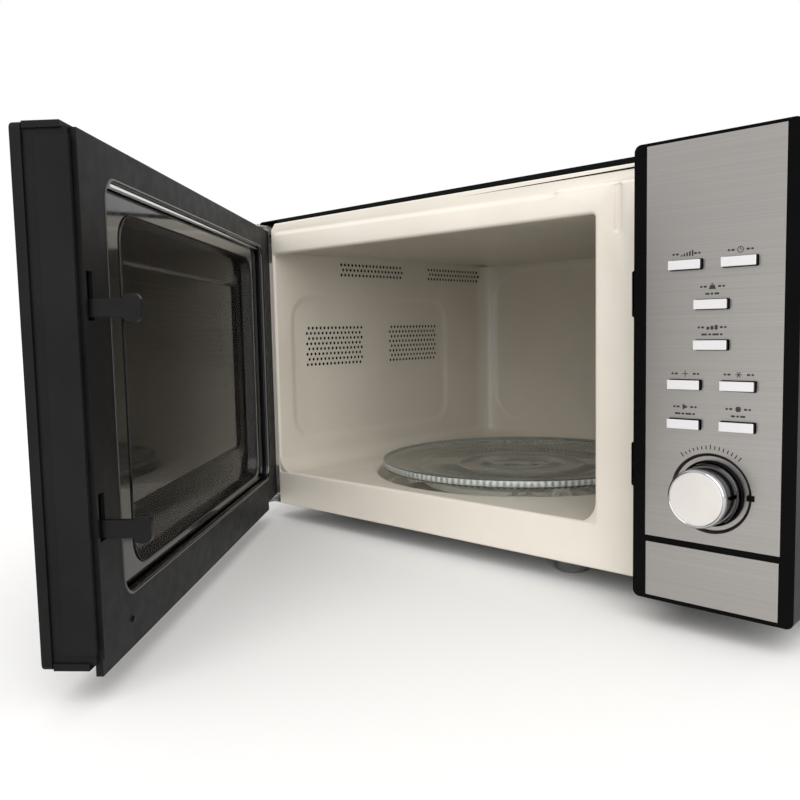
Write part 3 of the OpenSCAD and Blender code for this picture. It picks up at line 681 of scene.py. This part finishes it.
def on_wall(u, v, w):
    """Places the cavity's flat pattern: u runs along the left wall, round the back and out along
    the right wall, v is the height (with a cove into the floor) and w goes out of the cavity."""
    turn_1 = np.clip((u - SIDE) / BEND, 0, math.pi / 2)
    turn_2 = np.clip((u - SIDE - TURN - BACK) / BEND, 0, math.pi / 2)
    x = CAV_X[0] + BEND * (1 - np.cos(turn_1)) + np.clip(u - SIDE - TURN, 0, BACK) + BEND * np.sin(turn_2)
    y = (np.clip(u, -50, SIDE) + BEND * np.sin(turn_1) - BEND * (1 - np.cos(turn_2))
         - np.maximum(u - SIDE - 2 * TURN - BACK, 0))
    inward_x, inward_y = np.cos(turn_1 + turn_2), -np.sin(turn_1 + turn_2)
    bend = np.clip((FLOOR_Z + COVE - v) / COVE, 0, math.pi / 2)
    offset = COVE * (1 - np.cos(bend)) - w * np.cos(bend)
    z = np.where(bend > 0, FLOOR_Z + COVE * (1 - np.sin(bend)), v) - w * np.sin(bend)
    return np.column_stack([x + inward_x * offset, y + inward_y * offset, z])


def make_cavity(looks):
    """The cavity's walls, each pressed and the side walls perforated, its ceiling and its floor."""
    low = FLOOR_Z + COVE - COVE_LENGTH
    cove_lines = [FLOOR_Z + COVE - COVE_LENGTH * k / 8 for k in range(9)]

    def wall(name, u0, u1, node, holes, box, r, depth, softness, columns=()):
        loops = [round_box(box, r, 10, grow * softness) for grow in (-0.5, -0.3, -0.12, 0.12, 0.3, 0.5)]
        lines = [[(u0, v), (u1, v)] for v in cove_lines[:-1]]
        lines += [[(u, low), (u, CEILING_Z)] for u in columns]
        sheet = pattern(corners_of((u0, u1, low, CEILING_Z)), holes, loops, lines)

        def height(u, v):
            return depth * ease(0.5 - distance_to_box(u, v, box, r) / softness)

        panel = pressed(sheet, height, SHEET, on_wall)
        piece(name, panel, "case", looks["cavity"], [node], sharp=50)

    vents = [hole for y in (85, 215.6) for hole in hole_rows(y, 229.6, 18, 3, 5, VENT_R)]
    vents += [hole for y in (40.2, 154.6) for hole in hole_rows(y, 142.5, 15, 8, 5, VENT_R)]
    seam = SIDE + 0.3 * TURN
    wall("cavity_left_panel", 0.8, seam, "cavity_left_wall", vents, (21.5, 243, 72, 206), 22, 2.4, 9,
         [SIDE + TURN * k / 10 for k in range(3)])
    back_end = SIDE + 2 * TURN + BACK
    bends = [start + TURN * k / 10 for start in (SIDE, SIDE + TURN + BACK) for k in range(1, 11)]
    wall("cavity_back_panel", seam, back_end, "cavity_back_wall", [],
         (SIDE + TURN * 0.8, back_end - TURN * 0.8, 66, 240), 34, 1.8, 6, bends[3:-1])
    right = hole_rows(back_end + SIDE - 92, 215, 6, 5, 5, VENT_R)
    right.append(round_box((back_end + SIDE - 215, back_end + SIDE - 140, 158, 222), 3, 4))
    wall("cavity_right_panel", back_end, back_end + SIDE - 0.8, "cavity_right_wall", right,
         (back_end + 53, back_end + SIDE - 21, 72, 206), 22, 0.0, 9)
    make_ceiling(looks)
    make_floor(looks)


def make_ceiling(looks):
    """The ceiling, with a shallow step that runs at a slant and three small holes."""
    box = (CAV_X[0] - SHEET, CAV_X[1] + SHEET, SHEET, CAV_BACK + SHEET)
    holes = [circle(p, 0.7, 10) for p in ((-212.3, 76), (-210, 79.3), (-87.6, 97))]

    def step_y(x):
        """The line where the ceiling steps up, which runs back from left to right."""
        return 14 + 23 * (x - CAV_X[0]) / (CAV_X[1] - CAV_X[0])

    across = np.linspace(CAV_X[0], CAV_X[1], 24)
    lines = [[(x, step_y(x) + grow) for x in across] for grow in (0, 1, 2, 3, 4)]

    def height(u, v):
        return 2.0 * ease((v - step_y(u)) / 4) * ease((CAV_BACK - 4 - v) / 6)

    lines += [[(CAV_X[0], CAV_BACK - y), (CAV_X[1], CAV_BACK - y)] for y in (10, 8, 6, 4)]
    sheet = pattern(corners_of(box), holes, (), lines)
    piece("cavity_ceiling_panel", pressed(sheet, height, SHEET, lying(CEILING_Z)), "case",
          looks["cavity"], ["cavity_ceiling"])


def make_floor(looks):
    """The floor: a flat with a round well, which has a roller track, and fillers at its front corners."""
    rim = WELL_R + 1.2
    box = (CAV_X[0] + COVE, CAV_X[1] - COVE, -20, CAV_BACK - COVE)
    outline = [(box[0], 0.8), (box[1], 0.8)]
    outline += arc((box[1] - 7, box[3] - 7), 7, 0, 90, 10) + arc((box[0] + 7, box[3] - 7), 7, 90, 180, 10)
    sheet = pattern(outline, [circle(TABLE, rim, 128)], [circle(TABLE, rim + 1.2, 128)])
    flat = pressed(sheet, level, SHEET, lying(FLOOR_Z, -1))
    top = [(rim, FLOOR_Z), *[(WELL_R + 1 - 3 * math.sin(a), FLOOR_Z - 3 + 3 * math.cos(a))
                             for a in np.radians(np.linspace(0, 68, 7))]]
    foot = [(WELL_R - 10 + 4 * math.sin(a), WELL_Z + 4 - 4 * math.cos(a))
            for a in np.radians(np.linspace(68, 0, 6))]
    track = [(106, WELL_Z), (105.4, WELL_Z - 0.25), (96.6, WELL_Z - 0.25), (96, WELL_Z)]
    inner = [(30, WELL_Z), (28, WELL_Z + 0.7), (20, WELL_Z + 0.7), (18, WELL_Z), (7, WELL_Z)]
    upper = top + foot + track + inner
    lower = [(r, z - SHEET) for r, z in reversed(upper)]
    well = lathe(upper + lower, 128, (TABLE[0], TABLE[1], 0), closed=True)
    corners = []
    for side, x in ((1, CAV_X[0]), (-1, CAV_X[1])):
        bend = arc((x + side * COVE, FLOOR_Z + COVE), COVE + 0.9, 270, 270 - 90 * side, 10)
        outer, under = x - side * 1.2, FLOOR_Z - 1.4
        loop = [*bend, (outer, FLOOR_Z + COVE), (outer, under), (bend[0][0], under)]
        corners.append(loft([[(u, y, v) for u, v in loop] for y in (0.85, 2.4)]))
    pan = join(flat, well, *corners)
    piece("cavity_floor_pan", pan, "case", looks["cavity"], ["cavity_floor"])


# ---- Turntable ----
def make_turntable(looks):
    """The pressed glass plate with its ribs, lugs and knurled rim, and the parts that turn it."""
    ribs, per_rib = 150, 6
    under = [(0.5, 0.0), (40, 0.0), (88, 0.0), (90.5, -0.5), (95, -0.5), (97.5, 0.0), (106, 0.0),
             (108.5, 0.25), (113, 1.0), (118, 1.9), (122.5, 2.6), (125.5, 3.0)]
    rim = [(127.0, 3.8), (127.5, 5.0), (127.5, 8.6), (127.1, 9.7), (126.3, 10.25), (125.2, 10.1)]
    upper = [(123.8, 9.2), (122, 8.0), (119.5, 6.5), (116, 5.6), (110, 4.7), (105.5, 4.1), (102, 4.0),
             (97, 4.0), (95, 3.6), (91, 3.6), (89, 4.0), (60, 4.0), (58.5, 4.35), (56.5, 4.35), (55, 4.0),
             (30, 4.0), (28.8, 4.3), (27, 4.3), (25.8, 4.0), (0.5, 4.0)]
    strength = [0.0] * 6 + [0.1, 0.3, 0.4, 0.45, 0.45, 0.4, 0.3, 0.15]

    def wave(k, angles):
        amount = strength[k] if k < len(strength) else 0.0
        return amount * np.sin(ribs * angles)

    plate = lathe(under + rim + upper, ribs * per_rib, (TABLE[0], TABLE[1], PLATE_Z), wave=wave)
    lugs = []
    for turn in (30, 150, 270):
        a0, a1 = turn - 26, turn + 26
        loop = arc(TABLE, 18, a0, a1, 10) + arc(TABLE, 11, a1, a0, 10)
        lugs.append(loft([[(x, y, PLATE_Z + h) for x, y in loop] for h in (-4.6, -4.2, -0.6, 0.2)]))
    piece("glass_plate_pressed", join(plate, *lugs), "plate", looks["plate_glass"],
          ["glass_plate"], sharp=50)
    make_knurl(looks, ribs, per_rib)
    dressed("roller_ring", looks["white"], bevel=0.5)
    for k in (1, 2, 3):
        dressed(f"roller_{k}", looks["white"], bevel=0.9, segments=3)
    dressed("drive_coupler", looks["white"], bevel=0.4)
    dressed("turntable_motor", looks["zinc"], bevel=0.5)


def make_knurl(looks, ribs, per_rib):
    """The plate's ribbed rim as a band of its own, which takes the light."""
    angles = np.linspace(0, 2 * math.pi, ribs * per_rib, endpoint=False)

    def ring(reach, height):
        return np.column_stack([TABLE[0] + reach * np.cos(angles), TABLE[1] + reach * np.sin(angles),
                                np.full(len(angles), PLATE_Z + height)])

    ribbed = PLATE_R + 0.14 * np.sin(ribs * angles)
    rings = [ring(PLATE_R - 0.3, 4.6), ring(ribbed, 5.0), ring(ribbed + 0.02, 7.0), ring(ribbed, 8.8),
             ring(PLATE_R - 0.3, 9.3), ring(PLATE_R - 0.5, 9.3), ring(PLATE_R - 0.5, 4.6)]
    piece("glass_plate_knurl", loft(rings, closed=True), "plate", looks["knurl"], sharp=60)


# ---- Control panel ----
def make_panel(looks):
    """The control panel, with a silver cap on each key."""
    dressed("control_housing", looks["housing"], bevel=0.7, segments=3)
    dressed("faceplate", looks["steel"], bevel=0.18)
    dressed("release_button", looks["steel"], bevel=0.7, segments=3)
    for name in KEYS:
        dressed("key_" + name, looks["housing"], bevel=0.3)
        x, z = KEYS[name]
        cap = block((x - 8.95, FACE_Y - 3.6, z - 2.55), (x + 8.95, FACE_Y - 2.7, z + 2.55))
        piece("key_cap_" + name, cap, "key_" + name, looks["key"], bevel=0.35)
    make_knob(looks)
    make_marks(looks)
    # A small black block on the faceplate at the right edge of the dial's dish
    x, z = KNOB
    dark_block = block((x + 19.4, FACE_Y - 0.6, z - 1.6), (x + 23.6, FACE_Y + 1.4, z + 1.6))
    piece("dial_dark_block", dark_block, "case", looks["housing"], bevel=0.5)


def make_knob(looks):
    """The dial: a chrome side darkened to paint in its dark reflections, a chrome rim, a brushed face, and a black
    ring round its foot painted as the shaded gap.
    """
    at = (KNOB[0], FACE_Y, KNOB[1])
    body = [(8, -1.3), (8, 9), (13.2, 9), (13.2, -1.3), (16.2, -1.3), (16.6, -0.9), (16.6, 2.4),
            (16.3, 3.0), (15.9, 3.3), (15.9, 3.9), (16.2, 4.4), (16.1, 8), (15.8, 16.4), (14.6, 16.4),
            (3, 16.0), (3, -1.3)]
    side = lathe(body, 128, at, "y", closed=True)
    piece("knob_side", side, "dial", looks["shade_darkened_chrome"], ["knob"], sharp=30)
    rim = [(15.0, 16.5), (15.8, 16.5), (15.75, 17.5), (15.4, 18.3), (14.9, 18.8), (14.5, 18.9),
           (14.2, 18.7), (14.2, 17)]
    piece("knob_rim", lathe(rim, 128, at, "y", closed=True), "dial", looks["chrome"], sharp=40)
    groove = [(r, 18.82 - (0.03 if k % 2 else 0.0)) for k, r in enumerate(np.linspace(13.6, 0.6, 36))]
    cap = [(0.6, 16.2), (14.2, 16.3), (14.25, 18.5), (14.0, 18.8), *groove]
    piece("knob_face", lathe(cap, 96, at, "y"), "dial", looks["knob_face"], sharp=60)
    # painted shade: a black ring round the knob's foot that stands in for the shaded gap between the knob and its
    # dish
    profile = [(16.8, -1.5), (17.9, -1.5), (18.1, -0.6), (17.9, 0.5), (17.2, 0.9), (16.8, 0.5)]
    shade_ring = lathe(profile, 128, at, "y", closed=True)
    piece("dial_shade_ring", shade_ring, "case", looks["housing"], sharp=60)
    dressed("encoder_shaft", looks["zinc"], bevel=0.2)
    dressed("encoder_body", looks["board"], bevel=0.3)


def flat_mark(loop, holes=()):
    """A printed mark on the panel, a few hundredths of a millimetre thick."""
    return pressed(pattern(loop, holes), level, 0.06, upright(FACE_Y - 0.05))


def bar(x0, x1, z0, z1):
    return flat_mark(round_box((x0, x1, z0, z1), min(x1 - x0, z1 - z0) * 0.3, 2))


def dash_row(x, z, widths, tall=1.05, gap=0.6):
    """A row of dashes centred on x."""
    left = x - (sum(widths) + gap * (len(widths) - 1)) / 2
    marks = []
    for width in widths:
        marks.append(bar(left, left + width, z - tall / 2, z + tall / 2))
        left += width + gap
    return marks


def icon(kind, x, z):
    """Small generic pictograms for the keys."""
    if kind == "power":
        return [bar(x - 3 + 1.5 * k, x - 2.1 + 1.5 * k, z - 1.4, z - 0.4 + 0.55 * k) for k in range(5)]
    if kind == "clock":
        hands = [bar(x - 0.2, x + 0.2, z, z + 1.2), bar(x, x + 0.9, z - 0.2, z + 0.2)]
        return [flat_mark(circle((x, z), 1.7, 20), [circle((x, z), 1.3, 20)]), *hands]
    if kind == "weight":
        return [flat_mark([(x - 1.9, z - 1.4), (x + 1.9, z - 1.4), (x + 1.2, z + 0.7), (x - 1.2, z + 0.7)]),
                flat_mark(circle((x, z + 1.3), 0.6, 12), [circle((x, z + 1.3), 0.3, 12)])]
    if kind == "stage":
        return [bar(x - 3 + 2.2 * k, x - 1.3 + 2.2 * k, z - 1.3, z + 0.4 + 0.4 * k) for k in range(3)]
    if kind == "start":
        return [flat_mark([(x - 1.3, z - 1.6), (x + 1.7, z), (x - 1.3, z + 1.6)])]
    if kind == "stop":
        return [bar(x - 1.4, x + 1.4, z - 1.4, z + 1.4)]
    flake = []
    for turn in range(0, 180, 60 if kind == "auto_defrost" else 90):
        c, s = math.cos(math.radians(turn)), math.sin(math.radians(turn))
        corners = [(-1.7, -0.2), (1.7, -0.2), (1.7, 0.2), (-1.7, 0.2)]
        flake.append(flat_mark([(x + a * c - b * s, z + a * s + b * c) for a, b in corners]))
    return flake


def make_marks(looks):
    """Generic printed marks over the keys and a scale over the dial."""
    two_rows = ("weight", "stage", "start", "stop")
    marks = []
    for name, (x, z) in KEYS.items():
        near, far = z + 5.6, z + 9.4
        row = far if name in two_rows else near + 0.4
        side = 4.4 if name in ("power", "speed_defrost", "auto_defrost", "stage") else 3.2
        marks += icon(name, x, row)
        marks += dash_row(x - side - 1.6, row, (1.3, 1.7)) + dash_row(x + side + 1.6, row, (1.7, 1.3))
        if name in two_rows:
            widths = (2.2, 1.4, 2.6) if name in ("weight", "stop") else (3.2, 1.6, 3.4, 1.4)
            marks += dash_row(x, near, widths)
    for k, degrees in enumerate(np.linspace(128, 52, 15)):
        c, s = math.cos(math.radians(degrees)), math.sin(math.radians(degrees))
        inner, outer = 24.2, 24.2 + (2.6 if k % 7 == 0 else 1.6 + 0.05 * k)
        corners = [(inner, -0.3), (outer, -0.3), (outer, 0.3), (inner, 0.3)]
        marks.append(flat_mark([(KNOB[0] + a * c - b * s, KNOB[1] + a * s + b * c) for a, b in corners]))
    piece("printed_marks", join(*marks), "case", looks["print"])


# ---- Door ----
def make_door(looks):
    """The door's layers from the outside in, its pins, hooks and spring, and the recess's bead."""
    make_shell(looks)
    dressed("door_glass", looks["door_glass"], bevel=0.4)
    dressed("door_choke_cover", looks["satin"], bevel=0.8, segments=3)
    make_film(looks)
    make_door_pan(looks)
    dressed("door_hinge_pins", looks["zinc"], bevel=0.3)
    dressed("latch_hooks", looks["moulded"], bevel=0.7, segments=3)
    make_spring(looks)
    bead = ring_loft(RECESS, RECESS_R, [(0.7, -1.7), (0.5, -1.3), (0.0, -1.12), (-0.6, -1.2), (-1.1, -1.6),
                                        (-1.5, -2.3), (-1.7, -3.2), (-1.7, -4.6), (0.7, -4.6)])
    piece("door_recess_bead", bead, "door", looks["gloss"], place=DOOR, sharp=60)
    rivet = lathe([(0.4, 0.0), (1.6, 0.0), (1.6, 0.5), (0.9, 1.1), (0.4, 1.2)], 24, (112, 1.5, 30), "y")
    flip = rivet[0] * np.array([1, -1, 1])
    piece("door_rivet", (flip, rivet[1]), "door", looks["moulded"], place=DOOR)


def make_film(looks):
    """The film over the recess: a clear window with a glossy border, and at its top a light strip that is a
    painted highlight for the glint along the recess's edge.
    """
    place = upright(DOOR_Y[1] - 5.0, -1)
    outline, hole = round_box(RECESS, RECESS_R, 8, -0.3), round_box(RING, RING_R, 8, -1.2)
    border = pressed(pattern(outline, [hole]), level, 0.4, place)
    window = pressed(pattern(round_box(RING, RING_R, 8, -1.3)), level, 0.3, place)
    piece("door_film_border", border, "door", looks["border"], ["door_film"], place=DOOR)
    piece("door_film_window", window, "door", looks["film"], place=DOOR)
    # The painted highlight: a light strip under the recess's top edge, taller towards the free side, and a short
    # upright piece by the top corner
    rings = []
    for share in np.linspace(0, 1, 40):
        u = RECESS[0] + 14 + (RECESS[1] - 9 - RECESS[0] - 14) * share
        tall = 0.3 + 1.3 * share ** 0.7
        rings.append([(u, -2.1, 246.4), (u, -2.5, 246.4 + tall), (u, -4.9, 246.6 + tall), (u, -4.9, 246.3)])
    highlight_strip = loft(rings)
    corner = loft([[(117.6, -2.1, z), (118.5, -2.5, z), (118.7, -4.9, z), (117.4, -4.9, z)]
                   for z in np.linspace(229, 241, 12)])
    highlight_strip = join(highlight_strip, corner)
    piece("door_film_painted_highlight_edge", highlight_strip, "door", looks["painted_highlight"], place=DOOR, sharp=60)


def make_shell(looks):
    """The door's moulding: a front with a window, a rim all round and pads on the free edge."""
    x1, (z0, z1), front = DOOR_X[1], DOOR_Z, DOOR_Y[0]
    box = (DOOR_X[0], x1, z0, z1)
    face = pattern(round_box(box, 3, 8, -0.1), [round_box(WINDOW, 8, 8)])
    lip = ring_loft(box, 3, [(-0.1, front + 5.3), (0, front + 5.0), (0, front + 0.7), (-0.2, front + 0.2),
                             (-0.7, front), (-2.8, front), (-3.1, front + 0.3), (-3.1, front + 5.3)])
    inner = (DOOR_X[0], x1 - 1.6, z0, z1)
    rim = ring_loft(inner, 3, [(0, front + 5), (0, -12.2), (-0.2, -11.7), (-0.6, -11.5), (-2.0, -11.5),
                               (-2.5, -12), (-2.5, front + 5)])
    solids = [pressed(face, level, 2.0, upright(front + 3.1)), lip, rim,
              block((x1 - 3.8, -24, z0 + 2.4), (x1 - 1.7, -4.4, z1 - 2.4)),
              block((-212, -24.4, z0), (x1 - 0.3, -7.2, z0 + 3.4)),
              block((-212, -24.4, z1 - 3.1), (x1 - 0.3, -7.2, z1)),
              block((x1 - 2.6, -19, 26.8), (x1, -3.6, 262.4))]
    piece("door_shell_moulding", join(*solids), "door", looks["satin"], ["door_shell"],
          place=DOOR, bevel=0.45)


def perforated(box, pitch, r, y, thickness):
    """A plate full of round holes in staggered rows, made of cells that share their edges."""
    columns = int((box[1] - box[0]) / pitch)
    row_pitch = pitch * math.sqrt(3) / 2
    rows = int((box[3] - box[2]) / row_pitch)
    half_u, half_v = pitch / 2, row_pitch / 2
    turn = np.radians(np.arange(-135, 225, 45))
    outer = np.array([(-1, -1), (0, -1), (1, -1), (1, 0), (1, 1), (0, 1), (-1, 1), (-1, 0)], float)
    outer *= (half_u, half_v)
    inner = np.column_stack([np.cos(turn), np.sin(turn)]) * r
    middles = np.array([(box[0] + (column + 0.5 + 0.5 * (row % 2)) * pitch,
                         box[2] + (row + 0.5) * row_pitch)
                        for row in range(rows) for column in range(columns - row % 2)])
    cell = np.vstack([outer, inner])
    flat = (middles[:, None, :] + cell[None]).reshape(-1, 2)
    front = np.column_stack([flat[:, 0], np.full(len(flat), y), flat[:, 1]])
    points = np.vstack([front, front - np.array([0, thickness, 0])])
    lift = len(front)
    faces = []
    for k in range(len(middles)):
        first = 16 * k
        for i in range(8):
            j = (i + 1) % 8
            faces.append((first + i, first + j, first + 8 + j, first + 8 + i))
            back = lift + first
            faces.append((back + j, back + i, back + 8 + i, back + 8 + j))
            faces.append((first + 8 + i, first + 8 + j, back + 8 + j, back + 8 + i))
    ends = []
    for row in range(1, rows, 2):
        low, high = box[2] + row * row_pitch, box[2] + (row + 1) * row_pitch
        for x in (box[0], box[0] + (columns - 0.5) * pitch):
            ends.append(block((x, y - thickness, low), (x + half_u, y, high)))
    size = (box[0], box[0] + columns * pitch, box[2], box[2] + rows * row_pitch)
    return join((points, faces), *ends), size


def make_door_pan(looks):
    """The door's steel pan: flange, raised bead, well and perforated screen."""
    depth, well = DOOR_Y[1] - 13, DOOR_Y[1] - 15
    mouth = (SCREEN[0] - 6, SCREEN[1] + 6, SCREEN[2] - 6, SCREEN[3] + 6)
    edge = (CHOKE[0] + 3, CHOKE[1] - 3, CHOKE[2] + 3, CHOKE[3] - 3)
    shoulder = 3.2
    loops = [round_box(mouth, 10, 8, grow) for grow in (0.7, 1.4, 2.2, shoulder)]
    sheet = pattern(corners_of(edge), [round_box(mouth, 10, 8)], loops)

    def height(u, v):
        return -2.0 * (1 - ease(distance_to_box(u, v, mouth, 10) / shoulder))

    flange = pressed(sheet, height, SHEET, upright(depth))
    bead = ring_loft(RING, RING_R, [(0, depth), (0.1, depth + 7.4), (0.0, depth + 8.3), (-0.3, depth + 8.8),
                                (-0.8, depth + 8.7), (-1.1, depth + 8.2), (-1.5, depth + 7), (-3.0, depth)])
    pitch = 3.8
    holes, size = perforated(SCREEN, pitch, pitch * 0.3, well, 0.6)
    sheet = pattern(round_box(mouth, 10, 8, 0.8), [corners_of(size)])
    margin = pressed(sheet, level, 0.6, upright(well, -1))
    piece("door_pan_flange", join(flange, bead), "door", looks["flange"], ["door_pan"],
          place=DOOR)
    pane = pressed(pattern(round_box(mouth, 10, 8, -0.4)), level, 0.3, upright(depth - 0.6))
    piece("door_screen_lacquer", pane, "door", looks["pane"], place=DOOR)
    piece("door_screen", join(holes, margin), "door", looks["screen"], place=DOOR)


def make_spring(looks):
    """The latch spring as a wound wire."""
    x, y, z0, z1 = 141.25, -7.75, 199.2, 235.2
    r, wire, turns = 1.75, 0.3, 13
    count = turns * 20
    middle, rings = [], []
    for k in range(count + 1):
        a = 2 * math.pi * turns * k / count
        rise = (z1 - z0 - 2 * wire) * k / count
        middle.append(Vector((x + r * math.cos(a), y + r * math.sin(a), z0 + wire + rise)))
    for k, p in enumerate(middle):
        ahead = (middle[min(k + 1, count)] - middle[max(k - 1, 0)]).normalized()
        out = Vector((p.x - x, p.y - y, 0)).normalized()
        side = ahead.cross(out)
        rings.append([tuple(p + wire * (out * math.cos(b) + side * math.sin(b)))
                      for b in np.linspace(0, 2 * math.pi, 8, endpoint=False)])
    wound = piece("latch_spring_wire", loft(rings), "door", looks["spring"], ["latch_spring"],
                  place=DOOR)
    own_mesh(wound)


# ---- Inner works ----
def make_inner_works(looks):
    """The parts inside the case, in their CAD shapes."""
    finishes = {
        "board": ["control_board", "noise_filter"],
        "display": ["display_module"],
        "moulded": ["latch_bracket", "door_switches", "hv_diode", "fan_duct"],
        "white": ["release_lever", "fan_blade", "lamp"],
        "aluminium": ["magnetron_body", "magnetron_fins", "capacitor"],
        "zinc": ["waveguide"],
        "mica": ["waveguide_cover"],
        "iron": ["transformer_core", "fan_motor"],
        "copper": ["transformer_coils"],
    }
    thin = ("magnetron_fins", "waveguide_cover", "waveguide")
    for look, nodes in finishes.items():
        for node in nodes:
            dressed(node, looks[look], bevel=0.12 if node in thin else 0.5)


make_camera()
make_surroundings()
LOOKS = make_materials()
make_cover(LOOKS)
make_front_frame(LOOKS)
make_cavity(LOOKS)
make_turntable(LOOKS)
make_panel(LOOKS)
make_door(LOOKS)
make_inner_works(LOOKS)
